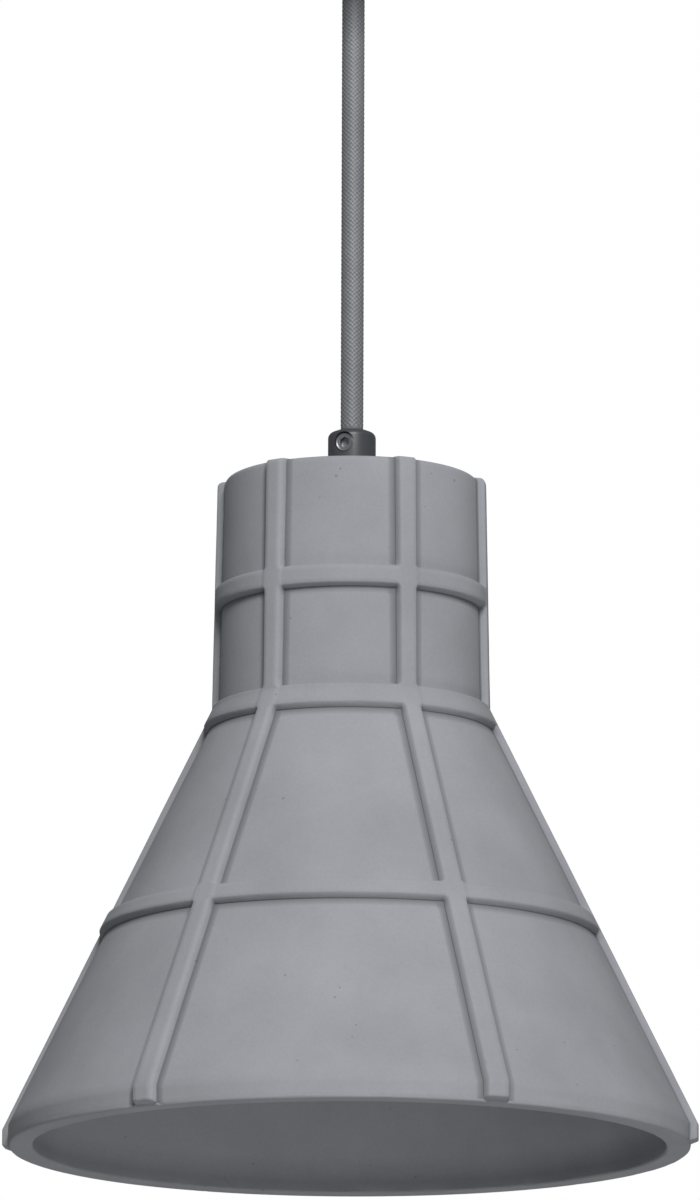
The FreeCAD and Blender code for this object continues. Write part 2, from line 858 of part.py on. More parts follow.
def save_lamp():
    save("shade_grip", raised(grip_body(), lower_grip_foot))
    save("shade_grip_screw", raised(grub_screw(), lower_grip_foot))
    save("shade_gasket", raised(gasket(), lower_grip_foot))
    save("shade_nipple", nipple(lower_grip_foot + nipple_in_grip, nipple_foot))
    save("shade_washer", washer(washer_level))
    save("shade_nut", nut(nut_level))
    save("shade", shade())
    save("holder_dome", holder_dome())
    save("holder_skirt", holder_skirt())
    save("holder_insert", holder_insert())
    for core, name in enumerate(("live", "neutral", "earth")):
        save(name + "_post", terminal_post(core))
        save(name + "_wire_lamp", lamp_wire(core))
    save("post_screws", post_screws())
    save("screw_shell", screw_shell())
    save("centre_spring", centre_spring())


def save_bulb():
    save("bulb_tip", bulb_tip())
    save("bulb_insulator", bulb_insulator())
    save("bulb_cap", bulb_cap())
    save("bulb_body", bulb_body())
    save("bulb_globe", bulb_globe())


os.makedirs("parts", exist_ok=True)
save_ceiling()
save_cord()
save_lamp()
save_bulb()
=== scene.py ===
import json
import math

import bpy
import numpy as np
from mathutils import Matrix, Vector, noise


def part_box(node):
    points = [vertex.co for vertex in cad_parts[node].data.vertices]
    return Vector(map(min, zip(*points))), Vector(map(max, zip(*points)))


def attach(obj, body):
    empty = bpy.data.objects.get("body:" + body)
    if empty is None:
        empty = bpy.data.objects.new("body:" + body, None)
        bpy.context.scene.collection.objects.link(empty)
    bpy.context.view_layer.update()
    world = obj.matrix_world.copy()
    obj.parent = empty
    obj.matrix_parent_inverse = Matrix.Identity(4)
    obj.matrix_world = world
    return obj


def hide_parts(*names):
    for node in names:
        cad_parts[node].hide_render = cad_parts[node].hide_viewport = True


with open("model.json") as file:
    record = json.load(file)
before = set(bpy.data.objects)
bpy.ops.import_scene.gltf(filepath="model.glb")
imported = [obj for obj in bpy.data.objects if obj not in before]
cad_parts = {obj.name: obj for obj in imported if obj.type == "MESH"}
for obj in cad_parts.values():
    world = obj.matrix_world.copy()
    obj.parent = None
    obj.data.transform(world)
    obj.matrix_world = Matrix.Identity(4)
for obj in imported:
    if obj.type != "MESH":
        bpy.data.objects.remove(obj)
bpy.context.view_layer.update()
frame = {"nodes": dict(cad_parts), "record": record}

bl_info = {
    "name": "Concrete Pendant Light",
    "version": (1, 0, 0),
    "blender": (4, 5, 0),
    "location": "3D View > Sidebar > Pendant",
    "description": "Models the visible pieces of a concrete pendant light round its fixed frame",
    "category": "Object",
}

MM = 0.001

SHADE_LOW, SHADE_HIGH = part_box("shade")
GRIP_LOW, GRIP_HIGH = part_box("shade_grip")
TOP_GRIP_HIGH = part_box("ceiling_grip")[1]
BEND_LOW, BEND_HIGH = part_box("cord_shade_bend")
TOP_BEND_LOW, TOP_BEND_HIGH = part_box("cord_ceiling_bend")
NIPPLE_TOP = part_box("shade_nipple")[1].z
SKIRT_LOW, SKIRT_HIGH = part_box("holder_skirt")
CAP_LOW, CAP_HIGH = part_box("bulb_cap")
HOUSING_LOW, HOUSING_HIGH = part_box("bulb_body")
GLOBE_LOW, GLOBE_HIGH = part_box("bulb_globe")


def colour(code):
    """Linear RGBA of an sRGB hex code."""
    channels = [int(code[i:i + 2], 16) / 255 for i in (1, 3, 5)]
    return (*[c / 12.92 if c <= 0.04045 else ((c + 0.055) / 1.055) ** 2.4 for c in channels], 1.0)


def length(name, description, default):
    """A length that a user may change, given in millimetres."""
    return bpy.props.FloatProperty(name=name, description=description, default=default * MM,
                                   min=0.0, precision=5, subtype="DISTANCE", unit="LENGTH")


def turn(name, description, default):
    """An angle that a user may change, given in degrees."""
    return bpy.props.FloatProperty(name=name, description=description, default=math.radians(default),
                                   subtype="ANGLE", unit="ROTATION")


def tint(name, description, code):
    """A colour that a user may change, given as an sRGB hex code."""
    return bpy.props.FloatVectorProperty(name=name, description=description, default=colour(code),
                                         size=4, min=0.0, max=1.0, subtype="COLOR")


# Sizes and colours that a user would change --------------------------------------------------

class PendantShadeSizes(bpy.types.PropertyGroup):
    neck_top: length("Neck top", "Diameter of the bare neck at its top", 79.6)
    neck_foot: length("Neck foot", "Diameter of the bare neck where the cone starts", 82.3)
    neck_length: length("Neck length", "Top of the shade to the foot of the neck", 73.7)
    rim: length("Rim", "Diameter over the ribs at the rim", 216.0)
    neck_wall: length("Neck wall", "Thickness of the neck", 7.65)
    rim_wall: length("Rim wall", "Thickness of the rim", 7.9)
    top_plate: length("Top plate", "Thickness of the closed top", 12.0)
    hole: length("Hole", "Diameter of the hole in the top", 10.5)
    lip: length("Lip", "Height of the upright lip at the rim", 6.2)
    inner_lip: length("Inner lip", "Height of the lip's upright inner face", 6.6)
    rib_count: bpy.props.IntProperty(name="Ribs", description="Upright ribs round the shade",
                                     default=6, min=3)
    rib_turn: turn("Rib turn", "Azimuth of the first rib from the front", 24.5)
    rib_height: length("Rib height", "How far the ribs stand out", 2.4)
    ring_height: length("Ring height", "How far the rings stand out", 2.2)
    rib_top: length("Rib width at the top", "Face of a rib at the top", 4.7)
    rib_knee: length("Rib width at the knee", "Face of a rib where the cone starts", 4.3)
    rib_rim: length("Rib width at the rim", "Face of a rib at the rim", 6.0)
    flank: length("Flank", "Run of the rounded side of a rib or ring", 1.2)
    neck_ring: length("Neck ring", "Top of the shade to the lower edge of the neck's ring", 40.4)
    neck_ring_face: length("Neck ring face", "Height of the neck ring's face", 4.9)
    knee_ring_face: length("Knee ring face", "Height of the face of the ring at the knee", 6.9)
    cone_ring: length("Cone ring", "Rim to the lower edge of the cone's ring", 66.5)
    cone_ring_face: length("Cone ring face", "Height of the cone ring's face", 4.8)
    rib_end: length("Rib end", "Rim to the lower end of the ribs", 0.9)


class PendantCordSizes(bpy.types.PropertyGroup):
    carriers: bpy.props.IntProperty(name="Carriers", description="Yarns that wind each way round the braid",
                                    default=14, min=4)
    pitch: length("Pitch", "Half the height of one crossing of the braid", 0.7)
    yarn: length("Yarn", "How far a yarn stands out of the braid", 0.22)
    light: tint("Light yarn", "Colour of the yarn's crowns", "#8B8C91")
    # Painted shade: the colour between the yarns stands for the shade in the braid's gaps
    gap_shade: tint("Dark yarn", "Colour between the yarns", "#2C2D30")


class PendantFittingSizes(bpy.types.PropertyGroup):
    screw: length("Set screw", "Diameter of the screw that holds the cord", 6.0)
    screw_turn: turn("Screw turn", "Azimuth of the set screw from the front", -22.0)
    socket: length("Socket", "Width of the screw's hexagon socket", 3.0)
    crown: length("Crown", "Fall of the grip's end from its bore to its shoulder", 1.4)
    shoulder: length("Shoulder", "Radius of the grip's rounded shoulder", 2.0)
    flutes: bpy.props.IntProperty(name="Flutes", description="Finger flutes round the lampholder's skirt",
                                  default=40, min=8)
    thread: length("Thread", "Pitch of the lamp cap's thread", 3.629)


class PendantFinishes(bpy.types.PropertyGroup):
    concrete: tint("Concrete", "Colour of the cast shade", "#97999E")
    coating: tint("Powder coat", "Colour of the canopy and the cord grips", "#3F4044")
    globe: tint("Globe", "Colour of the bulb's diffuser", "#F2EFE8")
    holder: tint("Lampholder", "Colour of the lampholder's moulding", "#1B1B1D")


class PendantStage(bpy.types.PropertyGroup):
    key: bpy.props.FloatProperty(name="Key light", description="Power of the large soft light", default=94.5,
                                 min=0.0, unit="POWER")
    fill: bpy.props.FloatProperty(name="Fill light", description="Power of the low light under the rim",
                                  default=20.0, min=0.0, unit="POWER")
    floor: length("Floor", "How far the floor lies below the ceiling", 5200.0)
    backdrop: tint("Backdrop", "Colour behind the object", "#FFFFFF")


# Mesh tools ----------------------------------------------------------------------------------

def deselect():
    """Nothing selected, so that an operator acts only on the piece in hand."""
    bpy.ops.object.select_all(action="DESELECT")


def start_piece(name):
    """Names the primitive that was just added, and gives it its own mesh name."""
    piece = bpy.context.object
    piece.name = name
    piece.data.name = name
    return piece


def close_up(piece):
    """Merges doubles, drops loose edges and turns every face outwards."""
    deselect()
    piece.select_set(True)
    bpy.context.view_layer.objects.active = piece
    bpy.ops.object.mode_set(mode="EDIT")
    bpy.ops.mesh.select_all(action="SELECT")
    bpy.ops.mesh.remove_doubles(threshold=0.004 * MM)
    bpy.ops.mesh.delete_loose()
    bpy.ops.mesh.select_all(action="SELECT")
    bpy.ops.mesh.normals_make_consistent(inside=False)
    bpy.ops.object.mode_set(mode="OBJECT")


def smooth(piece, angle=35.0):
    deselect()
    piece.select_set(True)
    bpy.context.view_layer.objects.active = piece
    bpy.ops.object.shade_smooth_by_angle(angle=math.radians(angle))


def apply(piece, kind, **settings):
    """Adds a modifier with its settings and applies it."""
    deselect()
    piece.select_set(True)
    bpy.context.view_layer.objects.active = piece
    modifier = piece.modifiers.new(kind.title(), kind)
    for name, value in settings.items():
        setattr(modifier, name, value)
    bpy.ops.object.modifier_apply(modifier=modifier.name)


def carve(piece, tool):
    """Cuts a tool out of a piece and removes the tool."""
    apply(piece, "BOOLEAN", operation="DIFFERENCE", object=tool, solver="EXACT")
    bpy.data.objects.remove(tool, do_unlink=True)


def arc_points(before, corner, after, radius, steps):
    """Points of the arc that rounds a corner of an outline."""
    before, corner, after = Vector(before), Vector(corner), Vector(after)
    back, ahead = (before - corner).normalized(), (after - corner).normalized()
    half = back.angle(ahead) / 2
    centre = corner + (back + ahead).normalized() * radius / math.sin(half)
    start = corner + back * radius / math.tan(half) - centre
    finish = corner + ahead * radius / math.tan(half) - centre
    first = math.atan2(start.y, start.x)
    swing = (math.atan2(finish.y, finish.x) - first + math.pi) % math.tau - math.pi
    angles = [first + swing * i / steps for i in range(steps + 1)]
    return [(centre.x + radius * math.cos(a), centre.y + radius * math.sin(a)) for a in angles]


def outline(points, steps=6):
    """(radius, level) points of a closed outline given as (radius, level, corner radius), in millimetres."""
    line = []
    for i, (r, z, rounding) in enumerate(points):
        if rounding:
            ahead = points[(i + 1) % len(points)]
            line += arc_points(points[i - 1][:2], (r, z), ahead[:2], rounding, steps)
        else:
            line.append((r, z))
    return line


def turned_piece(name, points, steps=72, base=0.0, sign=1):
    """Spins a closed outline round the axis. Levels are in millimetres up from base, or down for sign -1."""
    line = outline(points)
    deselect()
    bpy.ops.mesh.primitive_circle_add(vertices=len(line), radius=MM)
    piece = start_piece(name)
    for vertex, (r, z) in zip(piece.data.vertices, line):
        vertex.co = (r * MM, 0.0, base + sign * z * MM)
    bpy.ops.object.mode_set(mode="EDIT")
    bpy.ops.mesh.select_all(action="SELECT")
    bpy.ops.mesh.spin(steps=steps, angle=math.tau, center=(0, 0, 0), axis=(0, 0, 1))
    bpy.ops.object.mode_set(mode="OBJECT")
    close_up(piece)
    return piece


def placed_grid(name, places):
    """A grid whose vertices are placed one by one, from rows of points, closed where the ends meet."""
    rows, columns = places.shape[:2]
    deselect()
    bpy.ops.mesh.primitive_grid_add(x_subdivisions=columns - 1, y_subdivisions=rows - 1, size=2.0)
    piece = start_piece(name)
    flat = np.empty(len(piece.data.vertices) * 3)
    piece.data.vertices.foreach_get("co", flat)
    flat = flat.reshape(-1, 3)
    column = np.rint((flat[:, 0] + 1) / 2 * (columns - 1)).astype(int)
    row = np.rint((flat[:, 1] + 1) / 2 * (rows - 1)).astype(int)
    piece.data.vertices.foreach_set("co", places[row, column].ravel())
    piece.data.update()
    return piece, row, column


def point_attribute(piece, name, values):
    """Stores a number at every vertex, for its material to read."""
    layer = piece.data.attributes.new(name, "FLOAT", "POINT")
    layer.data.foreach_set("value", np.asarray(values, dtype=np.float32).ravel())


# Shade ---------------------------------------------------------------------------------------

def bulge(t):
    """Height, from 1 to 0, over the rounded side of a rib: full at t = 0, down to the wall at t = 1."""
    t = np.clip(t, 0.0, 1.0)
    return (1 - t ** 1.5) ** 0.9


def band(u, high, low, flank):
    """Height of a ring whose face runs from high down to low, at depths u."""
    return bulge(np.maximum(high - u, u - low) / flank)


SIDE = (0.0, 0.22, 0.42, 0.6, 0.75, 0.87, 0.95, 1.0)


def rows_over(high, low, flank):
    """Depths of the rows that draw one ring."""
    face = [high + (low - high) * k / 4 for k in range(1, 4)]
    return ([high - flank * t for t in reversed(SIDE)] + face + [low + flank * t for t in SIDE])


def spaced(start, finish, step):
    """Depths between two rows, evenly spaced and without the ends."""
    count = max(1, round((finish - start) / step))
    return [start + (finish - start) * k / count for k in range(1, count)]


def fill_rows(rows, start, finish, step):
    """Rows from start to finish, with even ones where there are gaps."""
    marks = [start] + [r for r in sorted(rows) if start + 0.01 < r < finish - 0.01] + [finish]
    filled = []
    for before, after in zip(marks, marks[1:]):
        filled += [before] + spaced(before, after, step)
    return filled + [finish]


# Small roundings and steps of the cast shade, in millimetres
TOP_EDGE = 1.6        # radius of the top's outer edge
RIM_EDGE = 0.9        # radius of the rim's outer edge
MOUTH_EDGE = 1.0      # radius of the rim's inner edge
RIM_TAPER = 0.12      # how much the lip narrows for each millimetre that it falls
TAPER_START = 1.6     # above the rim, where the lip starts to narrow
CEILING_CORNER = 4.0  # radius of the corner under the closed top
BESIDE = 0.4          # from an edge to the row next to it
MITRE_REACH = 3.5     # how far from a bend of the wall the relief starts to turn with it


def shade_rows(size):
    """Each row of the wall: radius, level, outward direction, rib and ring height, rib width, if inside."""
    neck_top, neck_foot = size["neck_top"] / 2, size["neck_foot"] / 2
    neck, lip, height, flank = size["neck_length"], size["lip"], size["height"], size["flank"]
    rib_top, rib_knee, rib_rim = size["rib_top"], size["rib_knee"], size["rib_rim"]
    lip_radius = size["rim"] / 2 - size["rib_height"]
    slope = (lip_radius - neck_foot) / (height - neck - lip)
    angle = math.atan(slope)
    mitre = math.tan(angle / 2)
    run = (height - neck - lip) / math.cos(angle)
    hole = size["hole"] / 2
    rows = []

    def add(r, z, width, direction=(1, 0), rib=0.0, ring=0.0, inner=0.0):
        rows.append((r, z, *direction, rib, ring, width, inner))

    # Flat top, from the hole to the rounded edge
    first, last = hole + BESIDE, neck_top - TOP_EDGE - BESIDE
    for r in [first] + spaced(first, last, 3.0) + [last]:
        add(r, 0.0, rib_top)
    for k in range(7):
        a = math.pi / 2 * k / 6
        add(neck_top - TOP_EDGE * (1 - math.sin(a)), -TOP_EDGE * (1 - math.cos(a)), rib_top, rib=1.0)

    # Neck, down to the knee
    ring_low = size["neck_ring"]
    ring_high = ring_low - size["neck_ring_face"]
    knee_high = neck - size["ring_height"] * mitre
    marks = rows_over(ring_high, ring_low, flank) + [knee_high - flank * t for t in reversed(SIDE)]
    for depth in fill_rows(marks, TOP_EDGE + 0.8, neck, 2.6):
        share = depth / neck
        near = max(0.0, 1 - (neck - depth) / MITRE_REACH)
        ring = float(band(depth, ring_high, ring_low, flank))
        ring = max(ring, float(bulge(max(0.0, knee_high - depth) / flank)))
        add(neck_top + (neck_foot - neck_top) * share, -depth, rib_top + (rib_knee - rib_top) * share,
            (1, mitre * near), 1.0, ring)

    # Cone, from the knee to the lip
    face_foot = size["knee_ring_face"] - size["ring_height"] * mitre
    cone_low = (height - neck - size["cone_ring"]) / math.cos(angle)
    cone_high = cone_low - size["cone_ring_face"]
    marks = [face_foot + flank * t for t in SIDE] + [face_foot * k / 3 for k in (1, 2)]
    marks += rows_over(cone_high, cone_low, flank)
    for down in fill_rows(marks, 0.0, run, 3.2)[1:]:
        share = down / run
        near = max(0.0, 1 - down / MITRE_REACH, 1 - (run - down) / MITRE_REACH)
        out_r = math.cos(angle) + math.sin(angle) * mitre * near
        out_z = math.sin(angle) - math.cos(angle) * mitre * near
        knee_ring = float(bulge(max(0.0, down - face_foot) / flank))
        ring = max(knee_ring, float(band(down, cone_high, cone_low, flank)))
        add(neck_foot + down * math.sin(angle), -neck - down * math.cos(angle),
            rib_knee + (rib_rim - rib_knee) * share, (out_r, out_z), 1.0, ring)

    # Upright lip, where the ribs end just above the rim
    end = size["rib_end"]
    for above in (5.0, 3.6, 2.6, 2.1, 1.7, 1.4, 1.15, 1.0, end):
        near = max(0.0, 1 - (lip - above) / MITRE_REACH)
        rib = float(bulge(np.array((end + 1.0 - above) / 1.0)))
        taper = RIM_TAPER * max(0.0, TAPER_START - above)
        add(lip_radius - taper, -height + above, rib_rim, (1, mitre * near), rib)
    for k in range(1, 6):
        a = math.pi / 2 * k / 5
        add(lip_radius - 0.09 - RIM_EDGE * (1 - math.cos(a)), -height + RIM_EDGE * (1 - math.sin(a)), rib_rim)

    # Rim face and the inner side, back up to the hole
    mouth = lip_radius - size["rim_wall"]
    for r in (lip_radius - 2.6, lip_radius - 4.4, mouth + 1.8):
        add(r, -height, rib_rim, inner=1.0)
    for k in range(6):
        a = math.pi / 2 * k / 5
        add(mouth + MOUTH_EDGE * (1 - math.sin(a)), -height + MOUTH_EDGE * (1 - math.cos(a)), rib_rim,
            inner=1.0)
    cavity = neck_foot - size["neck_wall"]
    inner_high = -height + size["inner_lip"]
    inner = [(mouth, -height + 3.5), (mouth, inner_high)]
    for k in range(1, 27):
        share = k / 26
        inner.append((mouth + (cavity - mouth) * share, inner_high + (-neck - inner_high) * share))
    ceiling = -size["top_plate"]
    inner += [(cavity, -neck + (ceiling - CEILING_CORNER + neck) * k / 12) for k in range(1, 13)]
    inner += [(cavity - CEILING_CORNER * (1 - math.cos(a)), ceiling - CEILING_CORNER * (1 - math.sin(a)))
              for a in (math.pi / 10 * k for k in range(1, 6))]
    inner += [(r, ceiling) for r in spaced(first, cavity - CEILING_CORNER, 3.0)[::-1]]
    inner += [(first, ceiling), (hole, ceiling + BESIDE), (hole, -6.0), (hole, -BESIDE), (first, 0.0)]
    for r, z in inner:
        add(r, z, 0.0, inner=1.0)
    return np.array(rows)


# Painted shade on the wall beside a rib: distance from the rib's root in millimetres, and strength
ROOT_SHADE_BESIDE_RIB = ((0.7, 0.85), (1.7, 0.55), (2.7, 0.0))


def shade_columns(size, rows):
    """Azimuth of every column at every row, and its rib height. Columns crowd at the ribs' rounded sides."""
    count = size["rib_count"]
    sector = math.tau / count
    half = rows[:, 6] / 2
    radius = np.maximum(rows[:, 0], 12.0)
    flank = size["flank"]
    across = [0.0, 0.5, 1.0]
    offsets = [half * k for k in across] + [half + flank * t for t in SIDE[1:]]
    offsets += [half + flank + beside for beside, _ in ROOT_SHADE_BESIDE_RIB]
    heights = [1.0] * len(across) + [float(bulge(np.array(t))) for t in SIDE[1:]] + [0.0] * len(ROOT_SHADE_BESIDE_RIB)
    between = 22
    azimuths, levels = [], []
    for i in range(count):
        middle = size["rib_turn"] + i * sector
        for offset, level in list(zip(offsets, heights))[:0:-1]:
            azimuths.append(middle - offset / radius)
            levels.append(level)
        for offset, level in zip(offsets, heights):
            azimuths.append(middle + offset / radius)
            levels.append(level)
        reach = offsets[-1] / radius
        for k in range(1, between):
            azimuths.append(middle + reach + (sector - 2 * reach) * k / between)
            levels.append(0.0)
    azimuths.append(azimuths[0] + math.tau)
    levels.append(levels[0])
    return np.array(azimuths).T, np.array(levels)


def cast_unevenness(point, near_edge):
    """How far the cast surface lies under its ideal one, in millimetres."""
    slow = noise.noise(Vector(point) * 0.045) * 0.5 + 0.5
    quick = noise.noise(Vector(point) * 0.33 + Vector((7, 3, 1))) * 0.5 + 0.5
    worn = max(0.0, noise.noise(Vector(point) * 0.9 + Vector((2, 9, 4))) - 0.15)
    return 0.16 * slow + 0.05 * quick + 0.8 * worn * near_edge


def near_root(height, axis, beside):
    """Painted shade where a rib or ring meets the wall: full at its root, less on its side and just beside
    it.
    """
    low = (height > 0.0) & (height < 0.15)
    root_shade = np.where(low, 1.0, np.clip(0.6 * (1 - height), 0.0, 0.3) * (height > 0.0))
    touching = height > 0.0
    for distance, strength in enumerate(beside, 1):
        near = np.roll(touching, distance + 1, axis) | np.roll(touching, -distance - 1, axis)
        root_shade = np.maximum(root_shade, strength * near * (height <= 0.0))
    root = (height <= 0.0) & (np.roll(touching, 1, axis) | np.roll(touching, -1, axis))
    return np.where(root, 1.0, root_shade)


def model_shade(size):
    rows = shade_rows(size)
    azimuths, rib_levels = shade_columns(size, rows)
    rib = rib_levels[None, :] * rows[:, 4][:, None]
    ring = rows[:, 5][:, None] * size["ring_height"] / size["rib_height"]
    relief = 1 - (1 - rib) * (1 - ring * np.ones_like(rib))
    height = relief * size["rib_height"]
    r = rows[:, 0][:, None] + height * rows[:, 2][:, None]
    z = rows[:, 1][:, None] + height * rows[:, 3][:, None]
    inner = rows[:, 7] > 0.5
    places = np.stack([r * np.sin(azimuths), -r * np.cos(azimuths), z * np.ones_like(r)], axis=-1)
    rim = -size["height"]
    outward = np.stack([np.sin(azimuths), -np.cos(azimuths), np.zeros_like(azimuths)], axis=-1)
    arris = 4 * relief * (1 - relief)
    for i in range(len(rows)):
        side = -1.0 if inner[i] else 1.0
        near_rim = max(0.0, 1 - (rows[i, 1] - rim) / 2.2)
        on_plate = rows[i, 1] > -0.01 or abs(rows[i, 1] + size["top_plate"]) < 0.5
        if on_plate or rows[i, 0] < size["hole"] / 2 + 1:
            continue
        for j in range(len(rib_levels) - 1):
            near = max(near_rim, 0.5 * arris[i, j])
            sink = cast_unevenness(places[i, j], near)
            places[i, j] -= outward[i, j] * sink * side
        places[i, -1] = places[i, 0]
    places[:, :, 2] += SHADE_HIGH.z / MM
    piece, row, column = placed_grid("shade_casting", places * MM)
    # Painted shade in the hollow attribute: darker at the rib roots and only on the lower sides of the rings,
    # where light from above leaves shade; none inside
    under = (np.roll(ring, 1, 0) >= np.roll(ring, -1, 0)) * np.ones_like(rib)
    at_rib = near_root(rib, 1, [strength for _, strength in ROOT_SHADE_BESIDE_RIB])
    at_ring = near_root(ring * np.ones_like(rib), 0, []) * under
    root = np.where(inner[:, None], 0.0, np.maximum(at_rib * (1 - ring), at_ring * (1 - rib)))
    point_attribute(piece, "hollow", root[row, column])
    close_up(piece)
    smooth(piece, 50.0)
    return piece


# Braided cord --------------------------------------------------------------------------------

def route_points(name, route):
    """Even points along the smooth line of a cord's route, with its spline's own ends."""
    curve = bpy.data.curves.new(name + "_route", "CURVE")
    curve.dimensions = "3D"
    spline = curve.splines.new("NURBS")
    spline.points.add(len(route) - 1)
    for point, place in zip(spline.points, route):
        point.co = (*place, 1.0)
    spline.order_u = 3
    spline.use_endpoint_u = True
    spline.resolution_u = 12
    holder = bpy.data.objects.new(name + "_route", curve)
    bpy.context.collection.objects.link(holder)
    bpy.context.view_layer.update()
    mesh = bpy.data.meshes.new_from_object(holder)
    points = [vertex.co.copy() for vertex in mesh.vertices]
    bpy.data.meshes.remove(mesh)
    bpy.data.objects.remove(holder, do_unlink=True)
    return points


def braid_height(around, along, carriers):
    """Height of a plain braid, from 0 between its yarns to 1 on their crowns, at (turns, pitches)."""
    a = around * carriers + along
    b = around * carriers - along
    cell_a, cell_b = np.floor(a), np.floor(b)
    fa, fb = a - cell_a - 0.5, b - cell_b - 0.5
    over = (cell_a + cell_b) % 2 < 0.5
    across = np.where(over, fa, fb)
    lengthwise = np.where(over, fb, fa)
    crown = np.sqrt(np.clip(1 - (1.9 * across) ** 2, 0.0, 1.0))
    return crown * (0.35 + 0.65 * np.cos(math.pi * lengthwise))


def braided_tube(name, route, size, sides, step):
    """A closed braided tube along a route, with rounded ends, that its yarns wind round."""
    points = np.array(route_points(name, route))
    runs = np.linalg.norm(np.diff(points, axis=0), axis=1)
    total = runs.sum()
    radius = (BEND_HIGH.x - BEND_LOW.x) / 2
    pitch, yarn = size.pitch, size.yarn
    stations = np.linspace(0.0, total, max(8, round(total / (step * MM))) + 1)
    marks = np.concatenate([[0.0], np.cumsum(runs)])
    line = np.stack([np.interp(stations, marks, points[:, k]) for k in range(3)], axis=-1)
    turns = np.arange(sides + 1) / sides
    grid_along, grid_around = np.meshgrid(stations / (2 * pitch), turns, indexing="ij")
    height = braid_height(grid_around, grid_along, size.carriers)
    radii = radius - yarn * (1 - height)
    direction = np.stack([np.sin(turns * math.tau), -np.cos(turns * math.tau), np.zeros_like(turns)], axis=-1)
    body = line[:, None, :] + radii[:, :, None] * direction[None, :, :]
    ahead = (points[-1] - points[0]) / np.linalg.norm(points[-1] - points[0])

    def cap(centre, ring, sign, heights):
        rows = []
        for k in range(1, 6):
            a = math.pi / 2 * k / 5
            rows.append(centre + ring * math.cos(a) + sign * ahead * radius * math.sin(a))
        return np.array(rows), np.repeat(heights[None, :], 5, axis=0)

    low, low_height = cap(line[-1], radii[-1][:, None] * direction, 1, height[-1])
    high, high_height = cap(line[0], radii[0][:, None] * direction, -1, height[0])
    places = np.concatenate([high[::-1], body, low])
    heights = np.concatenate([high_height[::-1], height, low_height])
    piece, row, column = placed_grid(name, places)
    point_attribute(piece, "crown", heights[row, column])
    close_up(piece)
    deselect()
    piece.select_set(True)
    bpy.ops.object.shade_smooth()
    return piece, [Vector(p) for p in line]


# Cord grips ----------------------------------------------------------------------------------

def along_screw(azimuth, reach, level):
    """Turns +Z onto a set screw's axis and moves it out from the lamp's axis."""
    outward = Vector((math.sin(azimuth), -math.cos(azimuth), 0.0))
    turned = outward.to_track_quat("Z", "Y").to_matrix().to_4x4()
    return Matrix.Translation(outward * reach + Vector((0, 0, level))) @ turned


def prism(name, sides, near, far, low, high, matrix):
    """A round or hexagonal tool along a matrix's Z, with a radius at each end, in millimetres."""
    deselect()
    bpy.ops.mesh.primitive_cone_add(vertices=sides, radius1=near * MM, radius2=far * MM,
                                    depth=(high - low) * MM, location=(0, 0, (low + high) / 2 * MM))
    piece = start_piece(name)
    bpy.ops.object.transform_apply(location=True, rotation=True, scale=True)
    piece.data.transform(matrix)
    return piece


def model_grip(name, size, cord, foot, sign, azimuth, screw_level):
    """A turned cord grip with a cross hole for its set screw, standing up for sign 1 and hanging for -1."""
    radius = (GRIP_HIGH.x - GRIP_LOW.x) / 2 / MM
    height = (GRIP_HIGH.z - GRIP_LOW.z) / MM
    thread_depth = (NIPPLE_TOP - GRIP_LOW.z) / MM
    seat = 5.05
    bore = cord / 2 + 0.3
    piece = turned_piece(name, [
        (seat, 0.0, 0.2), (radius, 0.0, 0.4), (radius, height - size["crown"], size["shoulder"]),
        (bore, height, 0.45), (bore, thread_depth, 0.0), (seat, thread_depth, 0.0)], 128, foot, sign)
    across = along_screw(azimuth, 0.0, screw_level)
    hole = size["screw"] / 2 + 0.12
    carve(piece, prism("screw_hole", 64, hole, hole, 3.0, 12.0, across))
    carve(piece, prism("screw_countersink", 64, hole - 0.4, hole + 0.55, radius - 1.1, radius + 0.1, across))
    apply(piece, "BEVEL", width=0.12 * MM, segments=3, limit_method="ANGLE", angle_limit=math.radians(42))
    smooth(piece, 40.0)
    return piece


def model_set_screw(name, size, cord, level, azimuth):
    """A socket set screw: turned body with a chamfered face and a hexagon socket."""
    radius = size["screw"] / 2
    grip_radius = (GRIP_HIGH.x - GRIP_LOW.x) / 2 / MM
    face = math.sqrt(grip_radius ** 2 - radius ** 2) - 0.35
    low = cord / 2 + 0.05
    points = [(0.0, low, 0.0), (radius - 0.5, low, 0.0), (radius, low + 0.5, 0.0)]
    points += [(radius, face - 0.3, 0.1), (radius - 0.25, face, 0.15), (radius - 0.75, face - 0.2, 0.1)]
    points += [(0.0, face - 0.2, 0.0)]
    piece = turned_piece(name, points, 64)
    piece.data.transform(along_screw(azimuth, 0.0, level))
    key = size["socket"] / math.sqrt(3)
    tool = prism("socket", 6, key, key, face - 1.9, face + 2.0, along_screw(azimuth, 0.0, level))
    carve(piece, tool)
    apply(piece, "BEVEL", width=0.06 * MM, segments=2, limit_method="ANGLE", angle_limit=math.radians(50))
    smooth(piece, 35.0)
    return piece


# Lampholder and bulb -------------------------------------------------------------------------

